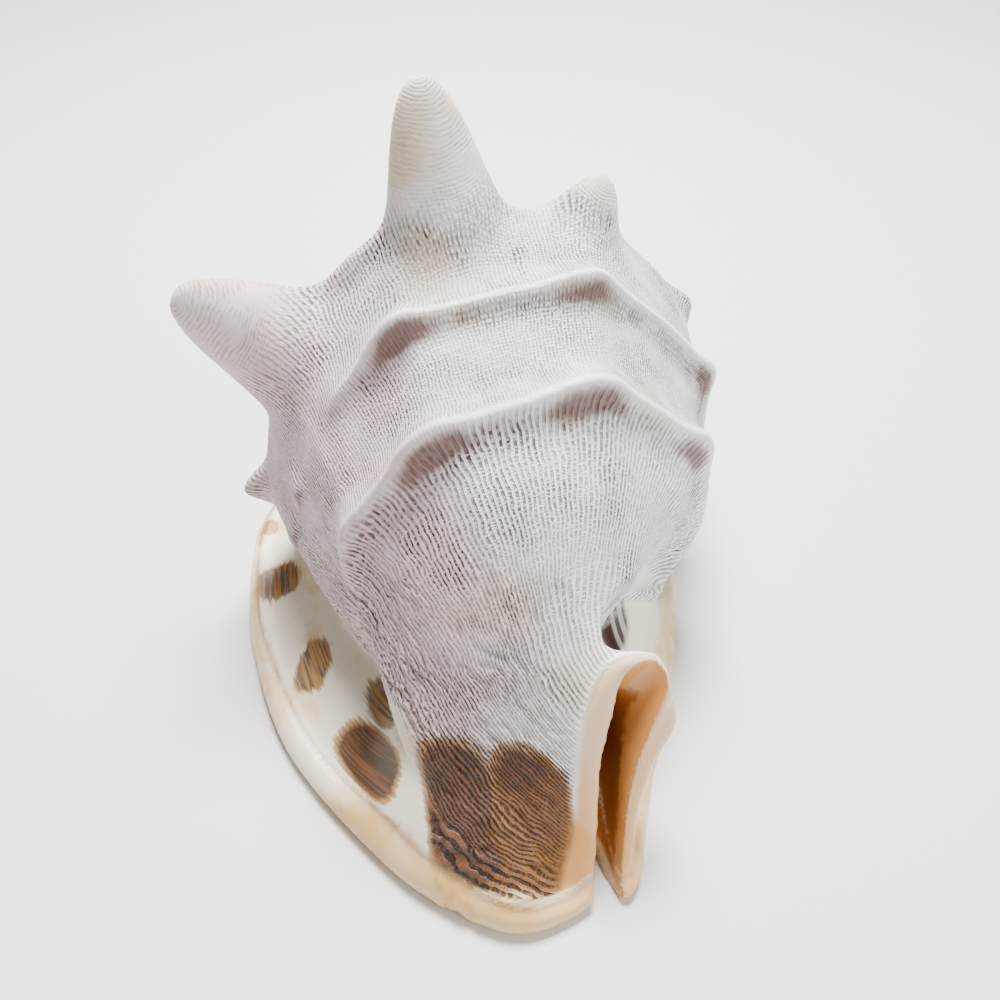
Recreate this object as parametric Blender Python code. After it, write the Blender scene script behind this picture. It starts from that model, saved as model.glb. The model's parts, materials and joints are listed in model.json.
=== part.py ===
"""A horned helmet shell, modelled as the one grown piece that it is.

+Y runs along the shell to its spire, +Z is up, and the shell rests on the flat
worn edges of its lip and its shield. Dimensions are in millimetres, and MM turns
them into metres. Angles around the coiling axis are in degrees: 0 is the shield's
side (+X), 90 is the top and 180 is the lip's side (-X).
"""

import math

import bmesh
import bpy
import numpy as np

MM = 0.001

# Driving dimensions
AXIS_X = 10.0
AXIS_Z = 50.0
AXIS_SHEAR = 0.153
FLOOR_DROP = 42.0
LEFT_FLATTENING = 0.06
RIGHT_FLATTENING = 0.02
FINE_VOXEL = 1.9
TRIANGLES = 9300

# The whorl's radius against the distance along the shell, from the neck to the apex
WHORL_PROFILE = (
    (92, 57.5), (104, 65), (122, 73.5), (141, 79.5), (160, 85.5),
    (176, 88), (185, 83), (192, 72), (201, 57), (209, 40), (216, 24), (221, 11), (224, 0.4),
)
SPIRE_START = 78.0
SPIRE_KNOBS = 11
WHORL_GROWTH = 1.6
NECK_SHARE = 0.42
NECK_BELLY = (-15.0, -11.0, 0.0)
NECK_WAIST = (-24.0, 0.0, 5.0)
# How far the neck's skin leads straight on from the canal's rim, and sideways at its left
RIM_LEAD = 24.0
LEFT_LEAD = (-17.0, 12.0, -2.0)
WHORL_LEAD = 27.0
# How far the canal's rim is turned against the whorl's lines, in degrees
RIM_TURN = 42.0

# Ridges: position along the shell, height, the angle where each fades out towards the lip,
# and the knobs as (angle, height, half width)
SHOULDER_ROW = (176.0, 1.0, 150, ((97.3, 47.0, 11.0), (142, 40.5, 12.0), (64, 15.0, 9.0),
                                  (22, 4.0, 9.0), (3, 3.0, 8.0), (184, 10.0, 7.0),
                                  (-25, 7.0, 9.0), (119, 5.0, 17.0)))
MIDDLE_ROW = (139.0, 5.0, 132, ((114, 5.0, 10.0), (70, 4.0, 11.0), (20, 3.5, 8.0),
                                (134, 1.5, 7.0), (163, 3.2, 5.0), (178, 3.0, 5.0)))
LOWER_ROW = (103.0, 5.4, 160, ((118, 5.0, 11.0), (74, 4.5, 12.0), (28, 4.0, 8.0),
                               (152, 1.0, 12.0)))
CORNER_ANGLES = (-20, 22, 68, 112, 146, 182, 216)
FLAT_BETWEEN_KNOBS = 0.5
# A knob higher than this stands out as a horn
HORN_FROM = 12.0
# Widths of a ridge below and above its crest, and lengths of a knob to those two sides
CREST_BELOW = 2.8
CREST_ABOVE = 8.0
KNOB_BELOW = 3.4
KNOB_ABOVE = 10.0

# The siphonal canal's mouth, bottom and top
MOUTH_BOTTOM = (16.5, 5.0, 1.0)
MOUTH_TOP = (29.6, 44.6, 68.0)
# Half widths of the rim to its two sides against the height in the mouth
RIM_LEFT = (
    (-1, 20), (-0.66, 15.2), (-0.4, 12.2), (-0.07, 11.8), (0.26, 12.4), (0.51, 12.9), (1, 14),
)
RIM_RIGHT = (
    (-1, 8.6), (-0.66, 6.3), (-0.32, 5.8), (-0.1, 7.2), (0.07, 9), (0.26, 13.3), (0.44, 16.3),
    (0.61, 15.3), (0.78, 15), (1, 12),
)
# Half width and middle of the canal's hollow against the height in it
HOLLOW_HALF = (
    (-1, 5.0), (-0.6, 4.0), (-0.2, 3.6), (0, 3.8), (0.2, 4.5), (0.4, 5.9), (0.6, 7.6),
    (0.8, 10.2), (1, 12.0),
)
HOLLOW_MIDDLE = (
    (-1, -3.4), (-0.6, -3.0), (-0.2, -3.2), (0, -3.3), (0.2, -3.0), (0.4, -1.6), (0.6, 0.8),
    (0.8, 3.0), (1, 3.2),
)
# How far the hollow is lowered in the mouth, which opens it at the foot
HOLLOW_DROP = 8.3
HOLLOW_DEEP_HALF = 4.4
# The hollow's half height from its front end to its back end
HOLLOW_TALL = ((0, 45), (0.2, 45), (0.45, 15), (0.7, 12), (1, 14))

# The rim of the lip and the shield, as (x, y) around the foot
RIM = (
    (-26, 6.6), (-49, 28), (-77, 74.7), (-87, 120), (-87, 153.4), (-80, 186),
    (-60, 208), (-20, 212), (30, 205), (62, 182), (77, 150), (76.5, 125), (68.3, 100),
    (55, 68), (42.2, 45.7), (34, 28), (27, 12), (21, 4.5), (10, 4.5), (0, 1.5), (-13, 0.5),
)
RIM_CENTRE = (0.0, 112.0)
ACROSS = np.array([1.0, 0, 0])

# Heights against the distance inwards from the rim
LIP_TOP = ((0, 4), (0.6, 6.4), (2, 8.2), (5, 9.2), (9, 8.0), (14, 9.0), (30, 16), (55, 30))
FRONT_TOP = ((0, 4), (0.6, 6.4), (2, 8.5), (6, 12), (14, 21), (28, 32), (55, 42))
SHIELD_TOP = ((0, 3.2), (0.6, 5), (2, 6), (6, 6.6), (14, 8), (30, 20), (55, 34))
CALLUS_TOP = ((0, 3.2), (0.6, 5.2), (2, 7.5), (6, 13), (13, 25), (22, 40), (34, 50), (55, 50))
UNDERSIDE = ((0, 3.4), (0.8, 0.6), (2.5, -0.8), (10, -0.9), (18, 2.5), (35, 6.0), (80, 8.0))

# The hollow's outer and inner radius against the distance along the shell
LUMEN_OUTER = (
    (81, 18), (92, 28), (104, 40), (122, 58), (141, 71), (160, 79), (172, 79), (181, 72),
)
LUMEN_INNER = ((81, 16), (120, 12), (181, 20))
LUMEN_FROM = -62.0
LUMEN_TURN = 315.0

# The slit of the aperture: centre x, height and half width, each against y
SLIT_COURSE = (
    (-4, 12), (15, 10.5), (35, 5), (60, -4), (90, -12), (120, -14), (150, -8), (172, 3),
)
SLIT_HEIGHT = ((-4, 2), (10, 4), (24, 9), (45, 18), (70, 25), (100, 27), (172, 27))
SLIT_WIDTH = ((-4, 3), (15, 4.5), (35, 6), (60, 8), (90, 9.5), (120, 9), (150, 7), (172, 4))
TOOTH_PITCH = 15.0
TOOTH_DEPTH = 2.2

# The open space between the whorl's fold and the shield: the fold's edge as x, its height and
# the shield's height there, each against y
FOLD = (
    (44, 24), (49, 22), (54, 20.7), (59.5, 21.7), (65.6, 25.3), (69, 31), (73, 37.5),
    (80.6, 44.5), (92.3, 52.5), (102, 62), (112, 82),
)
FOLD_HEIGHT = ((44, 66), (60, 65), (71, 65), (92, 60), (112, 54))
VALLEY_FLOOR = ((44, 51), (60, 49), (71, 46), (82, 42), (92, 32), (112, 10))
VALLEY_SLOPE = 1.1
VALLEY_FLAT = 11.0
# How the fold overhangs below its edge, down to a depth, and leans back above it
UNDERCUT = 0.55
UNDERCUT_DEPTH = 17.0
FOLD_LEAN = 0.3

# The false umbilicus, a pit under the fold
POCKET_CENTRE = (36.0, 77.0, 44.0)
POCKET_HALF = (6.5, 12.0, 9.0)
POCKET_TURN = math.radians(-22.0)


def smooth_curve(x, points):
    """The value at x of a monotone cubic through (x, value) points."""
    points = np.asarray(points, float)
    xs, ys = points[:, 0], points[:, 1]
    step = np.diff(xs)
    slope = np.diff(ys) / step
    tangent = np.empty_like(ys)
    tangent[0], tangent[-1] = slope[0], slope[-1]
    same_way = slope[:-1] * slope[1:] > 0
    safe = np.where(slope == 0, 1, slope)
    harmonic = 2 / (1 / safe[:-1] + 1 / safe[1:])
    tangent[1:-1] = np.where(same_way, harmonic, 0)
    x = np.clip(x, xs[0], xs[-1])
    i = np.clip(np.searchsorted(xs, x, "right") - 1, 0, len(xs) - 2)
    t = (x - xs[i]) / step[i]
    return (
        (2 * t**3 - 3 * t**2 + 1) * ys[i]
        + (t**3 - 2 * t**2 + t) * step[i] * tangent[i]
        + (3 * t**2 - 2 * t**3) * ys[i + 1]
        + (t**3 - t**2) * step[i] * tangent[i + 1]
    )


def closed_curve(t, points):
    """The point at t of a closed smooth curve, where t counts the points."""
    points = np.asarray(points, float)
    i = np.floor(t).astype(int)
    f = (t - i)[..., None]
    a, b, c, d = (points[(i + k) % len(points)] for k in (-1, 0, 1, 2))
    return 0.5 * (
        2 * b + (c - a) * f + (2 * a - 5 * b + 4 * c - d) * f**2 + (3 * b - a - 3 * c + d) * f**3
    )


def smooth_step(low, high, x):
    t = np.clip((x - low) / (high - low), 0, 1)
    return t * t * (3 - 2 * t)


def vector(x, y, z):
    return np.stack(np.broadcast_arrays(x, y, z), -1)


def angle_gap(angle, centre):
    """Degrees from centre to angle, the short way round."""
    return (angle - centre + 180) % 360 - 180


def end_taper(rise, power):
    """The factor that rounds a hollow's two ends."""
    return np.sqrt(np.clip(1 - (2 * rise - 1) ** power, 0, 1))


def squarish(turn, power):
    """The two sides of a circle swelled towards a square by a power below 1."""
    cosine, sine = np.cos(turn * 2 * math.pi), np.sin(turn * 2 * math.pi)
    return (
        np.sign(cosine) * np.abs(cosine) ** power,
        np.sign(sine) * np.abs(sine) ** power,
    )


def flat_sides(angle):
    """The radius factor that flattens the whorl between one line of knobs and the next."""
    corners = np.asarray(CORNER_ANGLES, float)
    i = np.clip(np.searchsorted(corners, angle, "right") - 1, 0, len(corners) - 2)
    half = np.radians(corners[i + 1] - corners[i]) / 2
    middle = np.radians(corners[i + 1] + corners[i]) / 2
    off = np.clip(np.radians(angle) - middle, -half, half)
    chord = np.cos(half) / np.cos(off)
    inside = (angle > corners[0]) & (angle < corners[-1])
    return np.where(inside, 1 - FLAT_BETWEEN_KNOBS * (1 - chord), 1)


def profile_at(t):
    """(distance along the shell, radius) of the whorl at t, from 0 at the neck to 1 at the apex."""
    points = np.asarray(WHORL_PROFILE, float)
    run = np.concatenate([[0], np.cumsum(np.hypot(*np.diff(points, axis=0).T))])
    run /= run[-1]
    return (
        smooth_curve(t, np.column_stack([run, points[:, 0]])),
        smooth_curve(t, np.column_stack([run, points[:, 1]])),
    )


def ridge_lift(angle, y, radius, row):
    """How far a row's ridge and knobs lift the surface."""
    row_y, height, fade, knobs = row
    along = y - row_y
    reach = smooth_step(-35, -5, angle) * (1 - smooth_step(fade - 14, fade + 14, angle))
    crest = np.exp(-((along / np.where(along < 0, CREST_BELOW, CREST_ABOVE)) ** 2))
    lift = height * reach * crest
    for centre, knob_height, half_width in knobs:
        around = np.radians(angle_gap(angle, centre)) * radius
        if knob_height > HORN_FROM:
            apart = np.hypot(around, along) / half_width
            lift = lift + knob_height * np.exp(-0.7 * apart**2.2)
        else:
            length = np.where(along < 0, KNOB_BELOW, KNOB_ABOVE)
            apart = np.hypot(around / half_width, along / length)
            lift = lift + knob_height * np.exp(-(apart**2))
    return lift


def spire_relief(angle, y, radius):
    """The older whorls of the spire: a spiral suture, and a row of small knobs above it."""
    size = np.clip(radius, 1.0, None)
    part = (np.log(SPIRE_START / size) / math.log(WHORL_GROWTH) + (angle + 90) / 360) % 1
    suture = -0.05 * np.exp(-((np.minimum(part, 1 - part) / 0.10) ** 2))
    beads = 0.5 + 0.5 * np.cos(np.radians(angle) * SPIRE_KNOBS)
    keel = (0.035 + 0.06 * beads) * np.exp(-(((part - 0.4) / 0.17) ** 2))
    return size * (suture + keel) * smooth_step(186, 194, y) * smooth_step(1, 6, radius)


def outward(angle, radius, drop):
    """The radius flattened to both sides, and where it would pass a floor drop below the axis."""
    cosine, sine = np.cos(np.radians(angle)), np.sin(np.radians(angle))
    radius = radius * (1 - LEFT_FLATTENING * np.clip(-cosine, 0, 1) ** 2)
    radius = radius * (1 - RIGHT_FLATTENING * np.clip(cosine, 0, 1) ** 2)
    floor = drop / np.clip(-sine, 0.02, 1)
    return np.where(sine < -0.02, (radius**-8.0 + floor**-8.0) ** (-1 / 8), radius)


def whorl_point(angle, t):
    """A point of the body whorl or the spire."""
    y, radius = profile_at(t)
    cosine, sine = np.cos(np.radians(angle)), np.sin(np.radians(angle))
    spire = smooth_step(0, 1, (y - 184) / 20)
    radius = radius * (flat_sides(angle) * (1 - spire) + spire)
    radius = outward(angle, radius, FLOOR_DROP)
    lift = sum(ridge_lift(angle, y, radius, row) for row in (SHOULDER_ROW, MIDDLE_ROW, LOWER_ROW))
    lift = lift * smooth_step(-0.75, -0.3, sine)
    whole = radius + lift
    lean = 0.16 * np.clip(lift - 10, 0, 60)
    x = AXIS_X + whole * cosine
    shear = AXIS_SHEAR * (x - AXIS_X)
    y = y + lean + shear + spire_relief(angle, y, radius)
    return vector(x, y, AXIS_Z + whole * sine)


def mouth_frame():
    """The mouth's centre, its long direction, its half length and the way back into the shell."""
    bottom, top = np.asarray(MOUTH_BOTTOM), np.asarray(MOUTH_TOP)
    long_way = (top - bottom) / np.linalg.norm(top - bottom)
    back = np.cross(ACROSS, long_way)
    back = back / np.linalg.norm(back)
    if back[1] < 0:
        back = -back
    return (top + bottom) / 2, long_way, np.linalg.norm(top - bottom) / 2, back


def mouth_point(angle):
    """A point of the canal's rim, which a turn of the whorl's lines brings to the lip below."""
    centre, long_way, half_length, _ = mouth_frame()
    turned = np.radians(angle + RIM_TURN)
    high, wide = np.sin(turned), np.cos(turned)
    half_width = np.where(wide > 0, smooth_curve(high, RIM_RIGHT), smooth_curve(high, RIM_LEFT))
    across = np.sign(wide) * np.abs(wide) ** 0.6 * half_width
    return centre + across[..., None] * ACROSS + (high * half_length)[..., None] * long_way


def neck_point(angle, v):
    """A point between the canal's rim (v = 0) and the whorl (v = 1)."""
    _, _, _, back = mouth_frame()
    zero = np.zeros_like(angle)
    first = mouth_point(angle)
    last = whorl_point(angle, zero)
    ahead = whorl_point(angle, zero + 0.01) - last
    ahead = ahead / np.linalg.norm(ahead, axis=-1, keepdims=True)
    right_side = np.clip(np.cos(np.radians(angle + 8)), 0, 1)[..., None]
    left_side = np.clip(-np.cos(np.radians(angle + RIM_TURN)), 0, 1)[..., None] ** 0.7
    lead = back * (RIM_LEAD - 4.0 * right_side)
    near = first + lead + (np.asarray(LEFT_LEAD) - lead) * left_side
    far = last - ahead * (WHORL_LEAD + 14.0 * right_side)
    v = v[..., None]
    lip_side = np.exp(-((angle_gap(angle, 205) / 38.0) ** 2))[..., None]
    belly = np.asarray(NECK_BELLY) * lip_side * (4 * v * (1 - v))
    shield_side = np.exp(-((angle_gap(angle, -14) / 40.0) ** 2))[..., None]
    waist = np.asarray(NECK_WAIST) * shield_side * (6.75 * v**2 * (1 - v))
    return (
        belly
        + waist
        + (1 - v) ** 3 * first
        + 3 * (1 - v) ** 2 * v * near
        + 3 * (1 - v) * v**2 * far
        + v**3 * last
    )


def hull_point(turn, rise):
    """A point of the shell's outside: turn goes once around, rise from the mouth to the apex."""
    angle = turn * 360 - 90
    neck = neck_point(angle, np.clip(rise / NECK_SHARE, 0, 1))
    neck = np.where((rise <= 0)[..., None], mouth_frame()[0], neck)
    whorl = whorl_point(angle, np.clip((rise - NECK_SHARE) / (1 - NECK_SHARE), 0, 1))
    return np.where((rise < NECK_SHARE)[..., None], neck, whorl)


def flange_point(turn, rise):
    """A point of the lip and shield: rise goes from the underside over the rim to the top."""
    edge = closed_curve(turn * len(RIM), RIM)
    centre = np.asarray(RIM_CENTRE)
    reach = np.sin(rise * math.pi)
    plan = centre + (edge - centre) * reach[..., None]
    inward = np.linalg.norm(edge - centre, axis=-1) * (1 - reach)
    x, y = edge[..., 0], edge[..., 1]
    lip_side = smooth_step(20, -40, x)
    lip = smooth_curve(inward, LIP_TOP)
    front = smooth_step(60, 20, y) * smooth_step(10, -10, x)
    lip = lip + (smooth_curve(inward, FRONT_TOP) - lip) * front
    shield = smooth_curve(inward, SHIELD_TOP)
    callus = smooth_step(118, 92, y) * smooth_step(30, 52, y) * smooth_step(30, 45, x)
    shield = shield + (smooth_curve(inward, CALLUS_TOP) - shield) * callus
    top = shield + (lip - shield) * lip_side
    z = np.where(rise > 0.5, top, smooth_curve(inward, UNDERSIDE))
    return vector(plan[..., 0], plan[..., 1], z)


def lumen_point(turn, rise):
    """The hollow of the body whorl, a crescent that winds round the pillar."""
    angle = LUMEN_FROM + LUMEN_TURN * rise
    a, b = (side * end_taper(rise, 12) for side in squarish(turn, 0.7))
    y = 131 + 50 * b
    cosine, sine = np.cos(np.radians(angle)), np.sin(np.radians(angle))
    outer = smooth_curve(y, LUMEN_OUTER) * flat_sides(angle)
    outer = outward(angle, outer, FLOOR_DROP - 6)
    inner = np.minimum(smooth_curve(y, LUMEN_INNER), outer - 8)
    radius = (inner + outer) / 2 + (outer - inner) / 2 * a
    x = AXIS_X + radius * cosine
    return vector(x, y + AXIS_SHEAR * (x - AXIS_X), AXIS_Z + radius * sine)


def slit_point(turn, rise):
    """The aperture, a long curved slot with teeth along its outer edge."""
    y = -4 + 176 * rise
    a, b = squarish(turn, 0.5)
    width = smooth_curve(y, SLIT_WIDTH)
    wave = np.clip(np.sin(y / TOOTH_PITCH * 2 * math.pi), 0, 1)
    teeth = TOOTH_DEPTH * wave * smooth_step(30, 50, y) * smooth_step(165, 150, y)
    half = np.where(a < 0, width - teeth, width) * end_taper(rise, 10)
    z = np.where(b > 0, smooth_curve(y, SLIT_HEIGHT) * b, 8 * b)
    return vector(smooth_curve(y, SLIT_COURSE) + half * a, y, z)


def canal_point(turn, rise):
    """The canal's hollow, from in front of its mouth back into the aperture."""
    centre, long_way, _, back = mouth_frame()
    end = end_taper(rise, 12)
    high = np.sin(turn * 2 * math.pi)
    centre = centre - long_way * HOLLOW_DROP
    start = centre - back * 14
    course = vector(
        smooth_curve(rise, ((0, start[0]), (0.2, centre[0]), (0.45, 18), (0.7, 5), (1, -8))),
        smooth_curve(rise, ((0, start[1]), (0.2, centre[1]), (0.45, 46), (0.7, 68), (1, 92))),
        smooth_curve(rise, ((0, start[2]), (0.2, centre[2]), (0.45, 36), (0.7, 34), (1, 28))),
    )
    deep = smooth_step(0.2, 0.5, rise)
    half = smooth_curve(high, HOLLOW_HALF) * (1 - deep) + HOLLOW_DEEP_HALF * deep
    middle = smooth_curve(high, HOLLOW_MIDDLE) * (1 - deep)
    across = squarish(turn, 0.7)[0] * half * end + middle
    stand = smooth_step(0.2, 0.7, rise)[..., None]
    upright = long_way * (1 - stand) + np.array([0, 0, 1.0]) * stand
    tall = smooth_curve(rise, HOLLOW_TALL) * high * end
    return course + across[..., None] * ACROSS + tall[..., None] * upright


def valley_point(turn, rise):
    """The open space between the whorl's overhanging fold and the shield."""
    a, b = (side * end_taper(rise, 14) for side in squarish(turn, 0.4))
    y = 47 + 63 * rise
    out = 30 * (1 + a)
    fall = VALLEY_SLOPE * np.maximum(out - VALLEY_FLAT, 0)
    z = smooth_curve(y, VALLEY_FLOOR) - fall + 40 * (1 + b)
    below = smooth_curve(y, FOLD_HEIGHT) - z
    under = -UNDERCUT * np.minimum(below, UNDERCUT_DEPTH)
    lean = np.where(below > 0, under, -FOLD_LEAN * below)
    return vector(smooth_curve(y, FOLD) + out + lean * (1 - a) / 2, y, z)


def pocket_point(turn, rise):
    """The false umbilicus, a pit between the canal and the shield."""
    around = turn * 2 * math.pi
    ring = np.sin(rise * math.pi)
    cosine, sine = math.cos(POCKET_TURN), math.sin(POCKET_TURN)
    x = POCKET_HALF[0] * ring * np.cos(around)
    y = -POCKET_HALF[1] * np.cos(rise * math.pi)
    return np.asarray(POCKET_CENTRE) + vector(
        x * cosine - y * sine,
        x * sine + y * cosine,
        POCKET_HALF[2] * ring * np.sin(around),
    )


def warped_sphere(name, point_at, around, along):
    """A closed mesh: a sphere whose turn and rise, each from 0 to 1, point_at maps to a form."""
    mesh = bpy.data.meshes.new(name)
    bm = bmesh.new()
    bmesh.ops.create_uvsphere(bm, u_segments=around, v_segments=along, radius=1)
    bm.to_mesh(mesh)
    bm.free()
    points = np.empty(len(mesh.vertices) * 3, np.float32)
    mesh.vertices.foreach_get("co", points)
    x, y, z = points.reshape(-1, 3).astype(float).T
    turn = np.arctan2(y, x) / (2 * math.pi) % 1
    rise = np.arccos(np.clip(-z, -1, 1)) / math.pi
    placed = point_at(turn, rise) * MM
    mesh.vertices.foreach_set("co", placed.astype(np.float32).ravel())
    mesh.update()
    bm = bmesh.new()
    bm.from_mesh(mesh)
    bmesh.ops.recalc_face_normals(bm, faces=bm.faces)
    bm.to_mesh(mesh)
    bm.free()
    obj = bpy.data.objects.new(name, mesh)
    bpy.context.collection.objects.link(obj)
    return obj


def evaluated_mesh(obj):
    graph = bpy.context.evaluated_depsgraph_get()
    return bpy.data.meshes.new_from_object(obj.evaluated_get(graph))


def apply_all(obj):
    """Makes the object's modifiers part of its mesh."""
    mesh = evaluated_mesh(obj)
    obj.modifiers.clear()
    obj.data = mesh


def remesh(obj, voxel, smoothing):
    modifier = obj.modifiers.new("Even skin", "REMESH")
    modifier.mode = "VOXEL"
    modifier.voxel_size = voxel * MM
    smooth = obj.modifiers.new("Soften", "SMOOTH")
    smooth.factor = 0.5
    smooth.iterations = smoothing
    apply_all(obj)


def joined(name, pieces):
    """One object that holds the pieces' meshes."""
    bm = bmesh.new()
    for piece in pieces:
        bm.from_mesh(piece.data)
        bpy.data.objects.remove(piece)
    mesh = bpy.data.meshes.new(name)
    bm.to_mesh(mesh)
    bm.free()
    obj = bpy.data.objects.new(name, mesh)
    bpy.context.collection.objects.link(obj)
    return obj


def cut(obj, cutters):
    for cutter in cutters:
        modifier = obj.modifiers.new(cutter.name, "BOOLEAN")
        modifier.operation = "DIFFERENCE"
        modifier.object = cutter
    apply_all(obj)
    for cutter in cutters:
        bpy.data.objects.remove(cutter)


def thin_out(obj, triangles):
    """Leaves about this many triangles, most where the surface bends."""
    bm = bmesh.new()
    bm.from_mesh(obj.data)
    bmesh.ops.triangulate(bm, faces=bm.faces)
    count = len(bm.faces)
    bm.to_mesh(obj.data)
    bm.free()
    modifier = obj.modifiers.new("Fewer faces", "DECIMATE")
    modifier.ratio = triangles / count
    apply_all(obj)


def ground_block():
    mesh = bpy.data.meshes.new("Ground")
    bm = bmesh.new()
    bmesh.ops.create_cube(bm, size=1.0)
    bmesh.ops.scale(bm, vec=(0.4, 0.4, 0.04), verts=bm.verts)
    bmesh.ops.translate(bm, vec=(0, 0.1, -0.02), verts=bm.verts)
    bm.to_mesh(mesh)
    bm.free()
    obj = bpy.data.objects.new("Ground", mesh)
    bpy.context.collection.objects.link(obj)
    return obj


def shell_material():
    material = bpy.data.materials.new("Shell")
    material.use_nodes = True
    shader = material.node_tree.nodes["Principled BSDF"]
    shader.inputs["Base Color"].default_value = (0.78, 0.74, 0.70, 1)
    shader.inputs["Roughness"].default_value = 0.55
    return material


def centre_on_foot(obj):
    """Puts the origin under the middle of the shell, at the level that it rests on."""
    points = np.empty(len(obj.data.vertices) * 3, np.float32)
    obj.data.vertices.foreach_get("co", points)
    points = points.reshape(-1, 3)
    low, high = points.min(axis=0), points.max(axis=0)
    points -= np.array([(low[0] + high[0]) / 2, (low[1] + high[1]) / 2, low[2]], np.float32)
    obj.data.vertices.foreach_set("co", points.ravel())
    obj.data.update()


def main():
    for obj in list(bpy.data.objects):
        bpy.data.objects.remove(obj, do_unlink=True)
    hull = warped_sphere("hull", hull_point, 200, 150)
    flange = warped_sphere("flange", flange_point, 160, 60)
    shell = joined("shell", [hull, flange])
    remesh(shell, FINE_VOXEL, 1)
    cutters = [
        warped_sphere("valley", valley_point, 40, 40),
        warped_sphere("lumen", lumen_point, 40, 60),
        warped_sphere("slit", slit_point, 24, 90),
        warped_sphere("canal", canal_point, 48, 50),
        warped_sphere("pocket", pocket_point, 20, 20),
    ]
    cut(shell, cutters)
    remesh(shell, FINE_VOXEL, 2)
    thin_out(shell, TRIANGLES)
    cut(shell, [ground_block()])
    centre_on_foot(shell)
    shell.data.materials.clear()
    shell.data.materials.append(shell_material())
    shell.data.shade_smooth()


main()
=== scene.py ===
"""A horned helmet shell at rest on a pale floor, one grown piece with its finish.

Forms are worked out in millimetres and become metres in the meshes. Angles around the
coiling axis are in degrees: 0 is the shield's side (+X), 90 is the top and 180 is the
lip's side (-X). The forms stand in the shell's own frame until the last step, which moves
them onto the foot.
"""

import json
import logging
import math
from dataclasses import dataclass, field
from enum import Enum
from typing import Callable, Sequence

import bmesh
import bpy
import numpy as np
from mathutils.bvhtree import BVHTree
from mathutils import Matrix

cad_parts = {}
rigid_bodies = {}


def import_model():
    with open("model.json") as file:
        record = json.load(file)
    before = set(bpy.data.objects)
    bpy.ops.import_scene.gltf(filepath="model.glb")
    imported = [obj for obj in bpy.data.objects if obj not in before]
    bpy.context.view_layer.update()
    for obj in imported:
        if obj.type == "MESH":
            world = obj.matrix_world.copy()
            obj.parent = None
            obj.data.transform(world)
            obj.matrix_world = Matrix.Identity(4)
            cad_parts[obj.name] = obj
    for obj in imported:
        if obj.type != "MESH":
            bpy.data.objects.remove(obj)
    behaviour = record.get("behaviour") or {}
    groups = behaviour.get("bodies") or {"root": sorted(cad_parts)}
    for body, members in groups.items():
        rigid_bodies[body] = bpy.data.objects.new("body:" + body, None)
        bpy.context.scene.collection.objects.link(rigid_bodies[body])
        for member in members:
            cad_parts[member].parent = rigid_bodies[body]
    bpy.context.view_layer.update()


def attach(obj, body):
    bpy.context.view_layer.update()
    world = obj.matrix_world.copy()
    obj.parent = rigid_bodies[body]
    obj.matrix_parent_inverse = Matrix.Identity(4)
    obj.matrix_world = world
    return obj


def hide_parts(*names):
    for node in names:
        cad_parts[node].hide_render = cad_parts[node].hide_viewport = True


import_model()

MM = 0.001
Points = Sequence[tuple[float, ...]]
PointAt = Callable[[np.ndarray, np.ndarray], np.ndarray]
log = logging.getLogger("shell")


class Region(Enum):
    """The grown or hollowed form that a stretch of skin belongs to."""

    HULL = "hull"
    FLANGE = "flange"
    LUMEN = "lumen"
    SLIT = "slit"
    CANAL = "canal"
    POCKET = "pocket"
    VALLEY = "valley"


def smooth_curve(x: np.ndarray, points: Points) -> np.ndarray:
    """Read a monotone cubic through (x, value) points.

    Args:
        x: where to read the curve.
        points: the (x, value) pairs, in rising order of x.

    Returns:
        The values at x.
    """
    table = np.asarray(points, float)
    xs, ys = table[:, 0], table[:, 1]
    step = np.diff(xs)
    slope = np.diff(ys) / step
    tangent = np.empty_like(ys)
    tangent[0], tangent[-1] = slope[0], slope[-1]
    same_way = slope[:-1] * slope[1:] > 0
    safe = np.where(slope == 0, 1, slope)
    harmonic = 2 / (1 / safe[:-1] + 1 / safe[1:])
    tangent[1:-1] = np.where(same_way, harmonic, 0)
    x = np.clip(x, xs[0], xs[-1])
    i = np.clip(np.searchsorted(xs, x, "right") - 1, 0, len(xs) - 2)
    t = (x - xs[i]) / step[i]
    return (
        (2 * t**3 - 3 * t**2 + 1) * ys[i]
        + (t**3 - 2 * t**2 + t) * step[i] * tangent[i]
        + (3 * t**2 - 2 * t**3) * ys[i + 1]
        + (t**3 - t**2) * step[i] * tangent[i + 1]
    )


def closed_curve(t: np.ndarray, points: Points) -> np.ndarray:
    """Read a closed smooth curve.

    Args:
        t: where to read it, counted in points.
        points: the corners that the curve passes.

    Returns:
        The points of the curve at t.
    """
    table = np.asarray(points, float)
    i = np.floor(t).astype(int)
    f = (t - i)[..., None]
    a, b, c, d = (table[(i + k) % len(table)] for k in (-1, 0, 1, 2))
    return 0.5 * (
        2 * b + (c - a) * f + (2 * a - 5 * b + 4 * c - d) * f**2 + (3 * b - a - 3 * c + d) * f**3
    )


def smooth_step(low: float, high: float, x: np.ndarray) -> np.ndarray:
    """Rise smoothly from 0 at low to 1 at high."""
    t = np.clip((x - low) / (high - low), 0, 1)
    return t * t * (3 - 2 * t)


def vector(x: np.ndarray, y: np.ndarray, z: np.ndarray) -> np.ndarray:
    """Stack three coordinates into points."""
    return np.stack(np.broadcast_arrays(x, y, z), -1)


def angle_gap(angle: np.ndarray, centre: float) -> np.ndarray:
    """Count the degrees from centre to angle, the short way round."""
    return (angle - centre + 180) % 360 - 180


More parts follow.
